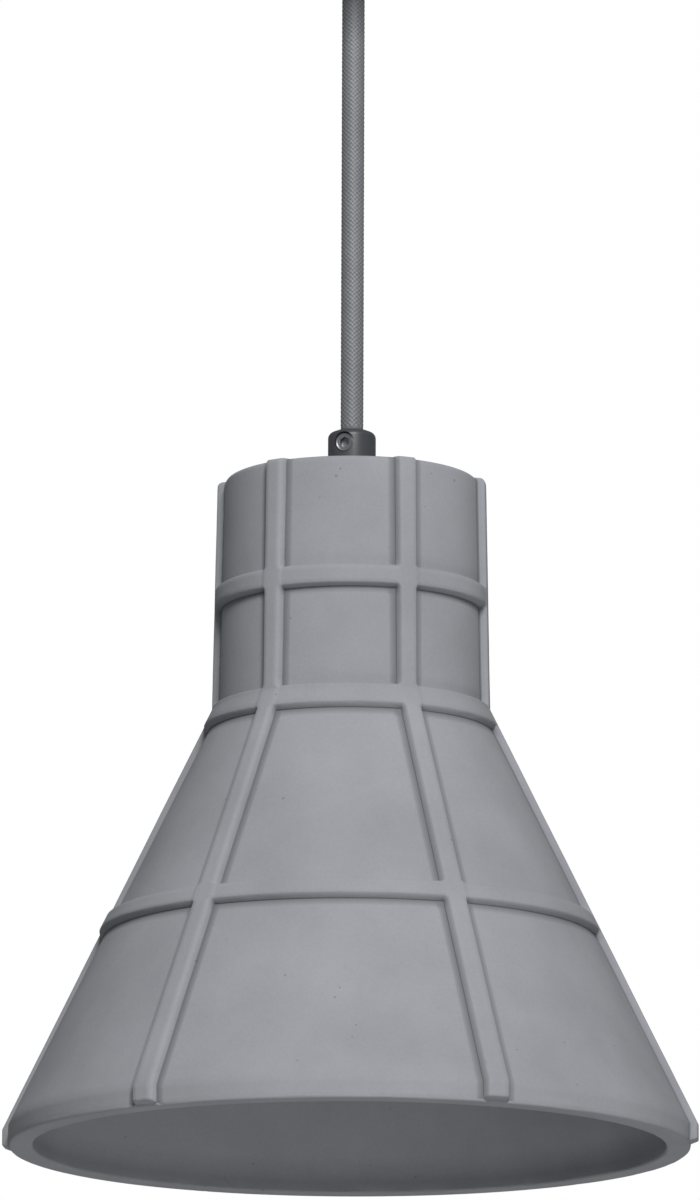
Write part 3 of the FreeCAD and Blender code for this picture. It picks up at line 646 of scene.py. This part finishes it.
def model_fluted_skirt(size):
    """Skirt of the lampholder, with finger flutes round its upper part, as a hollow moulding."""
    outer = (SKIRT_HIGH.x - SKIRT_LOW.x) / 2 / MM
    foot = SKIRT_LOW.z / MM
    dome_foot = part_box("holder_dome")[0].z / MM
    top = SKIRT_HIGH.z / MM
    shell_low, shell_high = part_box("screw_shell")
    shell_outer = (shell_high.x - shell_low.x) / 2 / MM + 0.1
    shell_inner = shell_outer - 0.6
    insert_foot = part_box("holder_insert")[0].z / MM
    tongue = outer - 1.3
    line = outline([
        (tongue, top, 0.0), (tongue, dome_foot, 0.0), (outer, dome_foot, 0.35), (outer, foot, 2.0),
        (shell_inner, foot, 0.5), (shell_inner, shell_low.z / MM, 0.0), (shell_outer, shell_low.z / MM, 0.0),
        (shell_outer, insert_foot, 0.0), (outer - 2.4, insert_foot, 0.0), (outer - 2.4, top, 0.0)], 5)
    high, low = dome_foot - 3.2, foot + 8.0
    rows = []
    for (r, z), (r2, z2) in zip(line, line[1:] + line[:1]):
        rows.append((r, z))
        if abs(r - outer) < 0.05 and abs(r2 - outer) < 0.05 and z - z2 > 10:
            rows += [(outer, high + d) for d in (1.2, 0.6, 0.2, -0.3)]
            rows += [(outer, high + (low - high) * k / 8) for k in range(1, 8)]
            rows += [(outer, low - d) for d in (-0.3, 0.2, 0.6, 1.2)]
    rows.append(rows[0])
    per_flute = 8
    columns = size["flutes"] * per_flute + 1
    turns = np.linspace(0.0, math.tau, columns)
    wave = 0.5 - 0.5 * np.cos(turns * size["flutes"])
    places = np.empty((len(rows), columns, 3))
    for i, (r, z) in enumerate(rows):
        inside = abs(r - outer) < 0.05 and low - 0.7 < z < high + 0.7
        ease = min(1.0, max(0.0, (min(high + 0.7 - z, z - low + 0.7)) / 1.4)) if inside else 0.0
        radius = r - 0.7 * ease * wave
        places[i] = np.stack([radius * np.sin(turns), -radius * np.cos(turns), np.full(columns, z)], axis=-1)
    piece, _, _ = placed_grid("lampholder_skirt", places * MM)
    close_up(piece)
    smooth(piece, 30.0)
    return piece


def model_threaded_cap(size):
    """Rolled screw cap of the bulb: a rounded thread between a plain neck and a turned-in top."""
    radius = (CAP_HIGH.x - CAP_LOW.x) / 2 / MM
    top, foot = CAP_HIGH.z / MM, CAP_LOW.z / MM
    pitch = size["thread"]
    sides = 72
    turns = np.arange(sides + 1) / sides
    levels = np.linspace(top - 0.9, foot, 96)
    rows = [np.full((sides + 1,), r) for r in (0.0, radius - 3.0, radius - 1.7)]
    heights = [top, top, top - 0.2]
    for z in levels:
        fade = min(1.0, (top - z) / 2.5, max(0.0, (z - foot - 1.5) / 2.5))
        wave = np.cos(math.tau * ((z - foot) / pitch - turns))
        rows.append(radius - 0.75 * max(0.0, fade) * (0.5 - 0.5 * wave))
        heights.append(z)
    rows.append(np.full((sides + 1,), 0.0))
    heights.append(foot)
    east, north = np.sin(turns * math.tau), np.cos(turns * math.tau)
    places = np.stack([np.stack([r * east, -r * north, np.full_like(turns, z)], axis=-1)
                       for r, z in zip(rows, heights)])
    piece, _, _ = placed_grid("bulb_screw_cap", places * MM)
    close_up(piece)
    smooth(piece, 40.0)
    return piece


def model_housing():
    """Flared housing of the bulb, with a step and a seam where the diffuser sits."""
    cap = (CAP_HIGH.x - CAP_LOW.x) / 2 / MM
    wide = (HOUSING_HIGH.x - HOUSING_LOW.x) / 2 / MM
    top, foot = HOUSING_HIGH.z / MM, HOUSING_LOW.z / MM
    collar, belly, seam = cap + 0.8, wide - 0.15, wide - 0.8
    return turned_piece("bulb_housing", [
        (0.0, top, 0.0), (collar, top, 0.6), (collar, top - 3.0, 2.6), (belly, foot + 3.0, 0.8),
        (belly, foot + 0.9, 0.2), (seam, foot + 0.7, 0.1), (seam, foot, 0.0), (0.0, foot, 0.0)], 96)


def model_globe():
    """Opal diffuser of the bulb: most of a ball, cut flat under the housing."""
    radius = (GLOBE_HIGH.x - GLOBE_LOW.x) / 2 / MM
    bottom, top = GLOBE_LOW.z / MM, GLOBE_HIGH.z / MM
    centre = bottom + radius
    opening = math.acos((top - centre) / radius)
    points = [(0.0, top, 0.0)]
    points += [(radius * math.sin(a), centre + radius * math.cos(a), 0.0)
               for a in np.linspace(opening, math.pi, 61)]
    return turned_piece("bulb_diffuser", points, 96)


# Materials -----------------------------------------------------------------------------------

def node(tree, kind, values=None, links=None, stops=None, **settings):
    """Adds a node, sets its properties, ramp stops and socket values, and links its inputs."""
    made = tree.nodes.new(kind)
    for name, value in settings.items():
        setattr(made, name, value)
    for socket, value in (values or {}).items():
        made.inputs[socket].default_value = value
    for socket, source in (links or {}).items():
        tree.links.new(source, made.inputs[socket])
    for i, (position, code) in enumerate(stops or []):
        elements = made.color_ramp.elements
        element = elements[i] if i < len(elements) else elements.new(position)
        element.position = position
        element.color = code
    return made


def per_mm(size):
    """Texture scale whose repeat is a size in millimetres, on Object coordinates in metres."""
    return 1 / (size * MM)


def shade_of(code, factor):
    """A colour made lighter or darker by a factor."""
    return (*[min(1.0, c * factor) for c in code[:3]], 1.0)


def grey(value):
    """A grey for a ramp that carries a number."""
    return (value, value, value, 1.0)


def new_material(name, values, build):
    """A material with these values on its Principled shader, and the links that build returns."""
    material = bpy.data.materials.new(name)
    material.use_nodes = True
    tree = material.node_tree
    tree.nodes.clear()
    place = node(tree, "ShaderNodeTexCoord").outputs["Object"]
    shader = node(tree, "ShaderNodeBsdfPrincipled", values, build(tree, place))
    node(tree, "ShaderNodeOutputMaterial", links={"Surface": shader.outputs["BSDF"]})
    return material


def cast_concrete(code):
    """Concrete cast in a smooth mould: matt and sandy, cloudy, with pin holes darkened as painted shade and
    painted shade in its corners.
    """
    def build(tree, place):
        clouds = node(tree, "ShaderNodeTexNoise", {"Scale": per_mm(34), "Detail": 4.0, "Roughness": 0.55},
                      {"Vector": place})
        # Sand grains are 0.2 to 0.5 mm, drawn coarser so that they show
        grain = node(tree, "ShaderNodeTexNoise", {"Scale": per_mm(0.9), "Detail": 4.0, "Roughness": 0.75},
                     {"Vector": place})
        cells = node(tree, "ShaderNodeTexVoronoi", {"Scale": per_mm(4.2), "Randomness": 1.0},
                     {"Vector": place})
        patches = node(tree, "ShaderNodeTexNoise", {"Scale": per_mm(6.0), "Detail": 1.0}, {"Vector": place})
        reach = node(tree, "ShaderNodeMapRange",
                     {"From Min": 0.5, "From Max": 0.85, "To Min": 0.0, "To Max": 0.17},
                     {"Value": patches.outputs["Fac"]})
        pore = node(tree, "ShaderNodeMath", links={0: cells.outputs["Distance"], 1: reach.outputs["Result"]},
                    operation="LESS_THAN")
        hollow = node(tree, "ShaderNodeAttribute", attribute_name="hollow")
        base = node(tree, "ShaderNodeValToRGB", links={"Fac": clouds.outputs["Fac"]},
                    stops=[(0.28, shade_of(code, 0.9)), (0.75, shade_of(code, 1.08))])
        speckle = node(tree, "ShaderNodeValToRGB", links={"Fac": grain.outputs["Fac"]},
                       stops=[(0.3, grey(0.91)), (0.7, grey(1.0))])
        sanded = node(tree, "ShaderNodeMix", {0: 1.0},
                      {6: base.outputs["Color"], 7: speckle.outputs["Color"]},
                      data_type="RGBA", blend_type="MULTIPLY")
        # Painted shade: the hollow attribute darkens the concrete at the roots of the ribs and under the
        # rings
        root_shade = node(tree, "ShaderNodeMapRange",
                    {"From Min": 0.2, "From Max": 1.0, "To Min": 0.0, "To Max": 0.8},
                    {"Value": hollow.outputs["Fac"]})
        root_shaded = node(tree, "ShaderNodeMix", {7: shade_of(code, 0.42)},
                     {0: root_shade.outputs["Result"], 6: sanded.outputs[2]}, data_type="RGBA", blend_type="MIX")
        # Painted shade: the pin holes are darkened in colour for the shade inside them, as well as dented by
        # the bump
        pore_share = node(tree, "ShaderNodeMath", {1: 0.45}, {0: pore.outputs["Value"]}, operation="MULTIPLY")
        pitted = node(tree, "ShaderNodeMix", {7: shade_of(code, 0.35)},
                      {0: pore_share.outputs["Value"], 6: root_shaded.outputs[2]},
                      data_type="RGBA", blend_type="MIX")
        rough = node(tree, "ShaderNodeMapRange", {"To Min": 0.78, "To Max": 0.95},
                     {"Value": grain.outputs["Fac"]})
        sandy = node(tree, "ShaderNodeBump", {"Strength": 0.5, "Distance": 0.12 * MM},
                     {"Height": grain.outputs["Fac"]})
        pricked = node(tree, "ShaderNodeBump", {"Strength": 0.6, "Distance": 0.25 * MM},
                       {"Height": pore.outputs["Value"], "Normal": sandy.outputs["Normal"]}, invert=True)
        return {"Base Color": pitted.outputs[2], "Roughness": rough.outputs["Result"],
                "Normal": pricked.outputs["Normal"]}
    return new_material("cast_concrete", {"Specular IOR Level": 0.35}, build)


def braided_yarn(light, gap_shade):
    """Braided polyester sleeve: pale crowns of yarn with a soft sheen, and painted shade down their sides and
    in the gaps between them.
    """
    def build(tree, place):
        crown = node(tree, "ShaderNodeAttribute", attribute_name="crown")
        fibre = node(tree, "ShaderNodeTexNoise", {"Scale": per_mm(0.5), "Detail": 2.0}, {"Vector": place})
        drift = node(tree, "ShaderNodeTexNoise", {"Scale": per_mm(9.0), "Detail": 2.0}, {"Vector": place})
        # Painted shade: the yarns darken by height from their crowns down to the gaps
        yarn = node(tree, "ShaderNodeValToRGB", links={"Fac": crown.outputs["Fac"]},
                    stops=[(0.05, gap_shade), (0.55, shade_of(light, 0.8)), (0.95, light)])
        fuzz = node(tree, "ShaderNodeValToRGB", links={"Fac": fibre.outputs["Fac"]},
                    stops=[(0.3, grey(0.74)), (0.7, grey(1.0))])
        worn = node(tree, "ShaderNodeValToRGB", links={"Fac": drift.outputs["Fac"]},
                    stops=[(0.3, grey(0.88)), (0.7, grey(1.0))])
        fuzzy = node(tree, "ShaderNodeMix", {0: 1.0}, {6: yarn.outputs["Color"], 7: fuzz.outputs["Color"]},
                     data_type="RGBA", blend_type="MULTIPLY")
        uneven = node(tree, "ShaderNodeMix", {0: 1.0}, {6: fuzzy.outputs[2], 7: worn.outputs["Color"]},
                      data_type="RGBA", blend_type="MULTIPLY")
        rough = node(tree, "ShaderNodeMapRange", {"To Min": 0.42, "To Max": 0.62},
                     {"Value": fibre.outputs["Fac"]})
        bump = node(tree, "ShaderNodeBump", {"Strength": 0.35, "Distance": 0.08 * MM},
                    {"Height": fibre.outputs["Fac"]})
        return {"Base Color": uneven.outputs[2], "Roughness": rough.outputs["Result"],
                "Normal": bump.outputs["Normal"]}
    return new_material("braided_polyester", {"Specular IOR Level": 0.6}, build)


def grained(name, code, roughness, grit, drift, tones, spread, bump, values):
    """One colour that drifts between two tones, with a fine grain in its roughness and its surface."""
    def build(tree, place):
        grain = node(tree, "ShaderNodeTexNoise", {"Scale": per_mm(grit), "Detail": drift["Detail"]},
                     {"Vector": place})
        clouds = node(tree, "ShaderNodeTexNoise", drift, {"Vector": place})
        base = node(tree, "ShaderNodeValToRGB", links={"Fac": clouds.outputs["Fac"]},
                    stops=[(0.3, shade_of(code, tones[0])), (0.7, shade_of(code, tones[1]))])
        rough = node(tree, "ShaderNodeMapRange",
                     {"To Min": roughness - spread[0], "To Max": roughness + spread[1]},
                     {"Value": grain.outputs["Fac"]})
        relief = node(tree, "ShaderNodeBump", {"Strength": bump[0], "Distance": bump[1] * MM},
                      {"Height": grain.outputs["Fac"]})
        return {"Base Color": base.outputs["Color"], "Roughness": rough.outputs["Result"],
                "Normal": relief.outputs["Normal"]}
    return new_material(name, values or {}, build)


def coated(name, code, roughness, grit, values=None):
    """Powder-coated or painted metal: one colour with the faint orange peel of baked powder."""
    wear = {"Scale": per_mm(14), "Detail": 3.0}
    return grained(name, code, roughness, grit, wear, (0.88, 1.1), (0.08, 0.1), (0.3, 0.05), values)


def moulded(name, code, roughness, grit, values=None):
    """Moulded plastic, rubber or fired ceramic: even colour, faint flow marks and a fine surface grain."""
    flow = {"Scale": per_mm(11), "Detail": 2.0, "Distortion": 0.6}
    return grained(name, code, roughness, grit, flow, (0.93, 1.04), (0.06, 0.08), (0.2, 0.03), values)


def bare_metal(name, code, roughness, streak):
    """Bare or plated metal: fine drawn or turned lines, and a slightly uneven shine."""
    def build(tree, place):
        lined = node(tree, "ShaderNodeMapping", {"Scale": (1.0, 1.0, 6.0)}, {"Vector": place})
        lines = node(tree, "ShaderNodeTexNoise", {"Scale": per_mm(streak), "Detail": 3.0},
                     {"Vector": lined.outputs["Vector"]})
        tarnish = node(tree, "ShaderNodeTexNoise", {"Scale": per_mm(4.0), "Detail": 3.0}, {"Vector": place})
        base = node(tree, "ShaderNodeValToRGB", links={"Fac": tarnish.outputs["Fac"]},
                    stops=[(0.3, shade_of(code, 0.8)), (0.65, code)])
        rough = node(tree, "ShaderNodeMapRange", {"To Min": roughness - 0.1, "To Max": roughness + 0.15},
                     {"Value": lines.outputs["Fac"]})
        bump = node(tree, "ShaderNodeBump", {"Strength": 0.15, "Distance": 0.03 * MM},
                    {"Height": lines.outputs["Fac"]})
        return {"Base Color": base.outputs["Color"], "Roughness": rough.outputs["Result"],
                "Normal": bump.outputs["Normal"]}
    return new_material(name, {"Metallic": 1.0}, build)


def striped_insulation(green, yellow):
    """Two-coloured earth insulation: a yellow stripe along green PVC."""
    def build(tree, place):
        wave = node(tree, "ShaderNodeTexWave", {"Scale": per_mm(2.4) / math.tau * 2, "Distortion": 0.0},
                    {"Vector": place}, wave_type="BANDS", bands_direction="Y")
        base = node(tree, "ShaderNodeValToRGB", links={"Fac": wave.outputs["Fac"]},
                    stops=[(0.46, green), (0.54, yellow)])
        grain = node(tree, "ShaderNodeTexNoise", {"Scale": per_mm(0.8), "Detail": 2.0}, {"Vector": place})
        rough = node(tree, "ShaderNodeMapRange", {"To Min": 0.35, "To Max": 0.5},
                     {"Value": grain.outputs["Fac"]})
        return {"Base Color": base.outputs["Color"], "Roughness": rough.outputs["Result"]}
    return new_material("pvc_insulation_earth", {}, build)


def finishes(choice):
    """Every finish of the lamp, by the record's material slot."""
    return {
        "concrete": cast_concrete(choice.concrete),
        "anthracite_metal": coated("powder_coated_steel", choice.coating, 0.42, 0.7),
        "zinc_steel": bare_metal("zinc_plated_steel", colour("#B9BAB8"), 0.38, 0.6),
        "brass": bare_metal("drawn_brass", colour("#C9A65A"), 0.32, 0.5),
        "nickel": bare_metal("nickel_plated_brass", colour("#C8C6C0"), 0.22, 0.5),
        "set_screw": coated("blackened_steel", colour("#8B8C90"), 0.34, 0.4, {"Metallic": 0.75}),
        "black_metal": coated("black_enamelled_steel", colour("#1D1D1F"), 0.38, 0.9, {"Coat Weight": 0.2}),
        "black_plastic": moulded("phenolic_moulding", choice.holder, 0.42, 0.6),
        "white_plastic": moulded("polycarbonate_moulding", colour("#E4E2DC"), 0.4, 0.7),
        "white_ceramic": moulded("glazed_porcelain", colour("#E8E5DC"), 0.2, 1.5, {"Coat Weight": 0.4}),
        "black_ceramic": moulded("vitrified_glass", colour("#141417"), 0.18, 1.2),
        "opal_globe": moulded("opal_polycarbonate", choice.globe, 0.3, 1.0,
                              {"Subsurface Weight": 0.25, "Subsurface Scale": 4 * MM}),
        "black_rubber": moulded("black_rubber", colour("#18181A"), 0.75, 0.5),
        "brown_insulation": moulded("pvc_insulation_live", colour("#5C3420"), 0.42, 0.8),
        "blue_insulation": moulded("pvc_insulation_neutral", colour("#2F5FA8"), 0.42, 0.8),
        "green_insulation": striped_insulation(colour("#2F7D3A"), colour("#E3C72E")),
    }


def finish_of(name):
    """The material made for a piece, once the finishes exist."""
    return bpy.data.materials[name]


def dress(piece, material, slot, body, *nodes):
    """Gives a piece its material and body, and hides the frame's nodes that it stands for. The slot is not
    used.
    """
    piece.data.materials.clear()
    piece.data.materials.append(finish_of(material))
    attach(piece, body)
    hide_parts(*nodes)
    return piece


# Operators -----------------------------------------------------------------------------------

class PENDANT_OT_stage(bpy.types.Operator):
    """Sets up the camera, the floor, the backdrop and the soft lights"""
    bl_idname = "pendant.stage"
    bl_label = "Stage"

    def execute(self, context):
        stage = context.scene.pendant_stage
        scene = context.scene
        scene.view_settings.view_transform = "Standard"
        lens = bpy.data.cameras.new("camera")
        lens.sensor_width = 36.0
        lens.lens = 288.0
        lens.clip_end = 100.0
        camera = bpy.data.objects.new("camera", lens)
        scene.collection.objects.link(camera)
        camera.matrix_world = (Matrix.Translation((-0.00043, -2.9398, -0.8448))
                               @ Matrix.Rotation(math.radians(90 + 11.603), 4, "X")
                               @ Matrix.Rotation(math.radians(0.2), 4, "Z"))
        scene.camera = camera

        world = bpy.data.worlds.new("studio")
        world.use_nodes = True
        tree = world.node_tree
        tree.nodes.clear()
        seen = node(tree, "ShaderNodeLightPath").outputs["Is Camera Ray"]
        ambient = node(tree, "ShaderNodeBackground", {"Color": grey(1.0), "Strength": 0.24})
        backdrop = node(tree, "ShaderNodeBackground", {"Color": stage.backdrop, "Strength": 1.0})
        both = node(tree, "ShaderNodeMixShader", links={
            0: seen, 1: ambient.outputs["Background"], 2: backdrop.outputs["Background"]})
        node(tree, "ShaderNodeOutputWorld", links={"Surface": both.outputs["Shader"]})
        scene.world = world

        deselect()
        bpy.ops.mesh.primitive_plane_add(size=60.0, location=(0, 0, -stage.floor))
        floor = start_piece("floor")
        floor.data.materials.append(moulded("studio_floor", colour("#EFEFEF"), 0.9, 40.0))

        self.soft_light("key_light", (0.373, -2.657, 1.43), 1.05, stage.key)
        self.soft_light("fill_light", (0.8, -1.2, -2.8), 1.2, stage.fill)
        return {"FINISHED"}

    def soft_light(self, name, place, size, power):
        """A square area light that faces the middle of the shade."""
        light = bpy.data.lights.new(name, "AREA")
        light.size = size
        light.energy = power
        lamp = bpy.data.objects.new(name, light)
        lamp.visible_camera = False
        bpy.context.scene.collection.objects.link(lamp)
        aim = (SHADE_LOW + SHADE_HIGH) / 2 - Vector(place)
        lamp.matrix_world = Matrix.Translation(place) @ aim.to_track_quat("-Z", "Y").to_matrix().to_4x4()


class PENDANT_OT_finishes(bpy.types.Operator):
    """Makes the materials and gives them to the frame's own nodes"""
    bl_idname = "pendant.finishes"
    bl_label = "Finishes"

    def execute(self, context):
        by_slot = finishes(context.scene.pendant_finishes)
        cord = context.scene.pendant_cord
        by_slot["grey_textile"] = braided_yarn(cord.light, cord.gap_shade)
        for part in frame["record"]["subparts"]:
            piece = frame["nodes"][part["node"]]
            piece.data.materials.clear()
            piece.data.materials.append(by_slot[part["material_slot"]])
        return {"FINISHED"}


class PENDANT_OT_cord(bpy.types.Operator):
    """Braids the hanging cord and its two ends inside the fittings"""
    bl_idname = "pendant.cord"
    bl_label = "Cord"

    def execute(self, context):
        size = context.scene.pendant_cord
        diameter = BEND_HIGH.x - BEND_LOW.x
        upper = (TOP_BEND_LOW.z + TOP_BEND_HIGH.z) / 2
        lower = (BEND_LOW.z + BEND_HIGH.z) / 2
        hang = upper - lower
        route = [(0, 0, upper), (0, 0, upper - hang * 0.3), (0, 0, upper - hang * 0.7), (0, 0, lower)]
        cord, path = braided_tube("hanging_cord", route, size, 84, 0.165)
        dress(cord, "braided_polyester", "grey_textile", "cord_top",
              "cord_upper", "cord_lower", "cord_ceiling_bend", "cord_shade_bend")
        for name, part, body in (("cord_end_in_canopy", "cord_in_canopy", "ceiling_fitting"),
                                 ("cord_end_in_lamp", "cord_in_lamp", "lamp")):
            low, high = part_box(part)
            inset = diameter / 2
            ends = [high.z - inset, low.z + inset]
            run = [(0, 0, ends[0] + (ends[1] - ends[0]) * k) for k in (0.0, 0.3, 0.7, 1.0)]
            stub, _ = braided_tube(name, run, size, 84, 0.3)
            dress(stub, "braided_polyester", "grey_textile", body, part)
        return {"FINISHED"}


class PENDANT_OT_shade(bpy.types.Operator):
    """Casts the ribbed concrete shade"""
    bl_idname = "pendant.shade"
    bl_label = "Shade"

    def execute(self, context):
        sizes = context.scene.pendant_shade
        size = {name: getattr(sizes, name) for name in PendantShadeSizes.__annotations__}
        millimetres = {name: value / MM if isinstance(value, float) and name != "rib_turn" else value
                       for name, value in size.items()}
        millimetres["height"] = (SHADE_HIGH.z - SHADE_LOW.z) / MM
        shade = model_shade(millimetres)
        dress(shade, "cast_concrete", "concrete", "lamp", "shade")
        return {"FINISHED"}


class PENDANT_OT_grips(bpy.types.Operator):
    """Turns the two cord grips and their socket set screws"""
    bl_idname = "pendant.grips"
    bl_label = "Cord grips"

    def execute(self, context):
        sizes = context.scene.pendant_fittings
        size = {name: getattr(sizes, name) / MM for name in ("screw", "socket", "crown", "shoulder")}
        cord = (BEND_HIGH.x - BEND_LOW.x) / MM
        for name, foot, sign, azimuth, body in (
                ("shade", GRIP_LOW.z, 1, sizes.screw_turn, "lamp"),
                ("ceiling", TOP_GRIP_HIGH.z, -1, math.pi - sizes.screw_turn, "ceiling_fitting")):
            low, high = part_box(name + "_grip_screw")
            level = (low.z + high.z) / 2
            grip = model_grip(name + "_cord_grip", size, cord, foot, sign, azimuth, level)
            dress(grip, "powder_coated_steel", "anthracite_metal", body, name + "_grip")
            screw = model_set_screw(name + "_set_screw", size, cord, level, azimuth)
            dress(screw, "blackened_steel", "anthracite_metal", body, name + "_grip_screw")
        return {"FINISHED"}


class PENDANT_OT_lampholder(bpy.types.Operator):
    """Moulds the lampholder's fluted skirt"""
    bl_idname = "pendant.lampholder"
    bl_label = "Lampholder"

    def execute(self, context):
        skirt = model_fluted_skirt({"flutes": context.scene.pendant_fittings.flutes})
        dress(skirt, "phenolic_moulding", "black_plastic", "lamp", "holder_skirt")
        return {"FINISHED"}


class PENDANT_OT_bulb(bpy.types.Operator):
    """Makes the bulb: threaded cap, flared housing and opal diffuser"""
    bl_idname = "pendant.bulb"
    bl_label = "Bulb"

    def execute(self, context):
        cap = model_threaded_cap({"thread": context.scene.pendant_fittings.thread / MM})
        dress(cap, "nickel_plated_brass", "nickel", "bulb", "bulb_cap")
        housing = model_housing()
        smooth(housing, 30.0)
        dress(housing, "polycarbonate_moulding", "white_plastic", "bulb", "bulb_body")
        globe = model_globe()
        smooth(globe, 40.0)
        dress(globe, "opal_polycarbonate", "opal_globe", "bulb", "bulb_globe")
        return {"FINISHED"}


class PENDANT_PT_panel(bpy.types.Panel):
    """Lists the pendant light's pieces and their sizes"""
    bl_idname = "PENDANT_PT_panel"
    bl_label = "Pendant light"
    bl_space_type = "VIEW_3D"
    bl_region_type = "UI"
    bl_category = "Pendant"

    def draw(self, context):
        for prop, group in GROUPS.items():
            box = self.layout.box()
            box.label(text=prop.replace("_", " ").capitalize())
            for name in group.__annotations__:
                box.prop(getattr(context.scene, prop), name)
        for operator in OPERATORS:
            self.layout.operator(operator.bl_idname)


GROUPS = {
    "pendant_stage": PendantStage,
    "pendant_finishes": PendantFinishes,
    "pendant_cord": PendantCordSizes,
    "pendant_shade": PendantShadeSizes,
    "pendant_fittings": PendantFittingSizes,
}
OPERATORS = (PENDANT_OT_stage, PENDANT_OT_finishes, PENDANT_OT_cord, PENDANT_OT_shade, PENDANT_OT_grips,
             PENDANT_OT_lampholder, PENDANT_OT_bulb)


def register():
    for group in (*GROUPS.values(), *OPERATORS, PENDANT_PT_panel):
        bpy.utils.register_class(group)
    for prop, group in GROUPS.items():
        setattr(bpy.types.Scene, prop, bpy.props.PointerProperty(type=group))


def unregister():
    for prop in GROUPS:
        delattr(bpy.types.Scene, prop)
    for group in reversed((*GROUPS.values(), *OPERATORS, PENDANT_PT_panel)):
        bpy.utils.unregister_class(group)


def main():
    register()
    bpy.ops.pendant.stage()
    bpy.ops.pendant.finishes()
    bpy.ops.pendant.cord()
    bpy.ops.pendant.shade()
    bpy.ops.pendant.grips()
    bpy.ops.pendant.lampholder()
    bpy.ops.pendant.bulb()


if __name__ == "__main__":
    main()
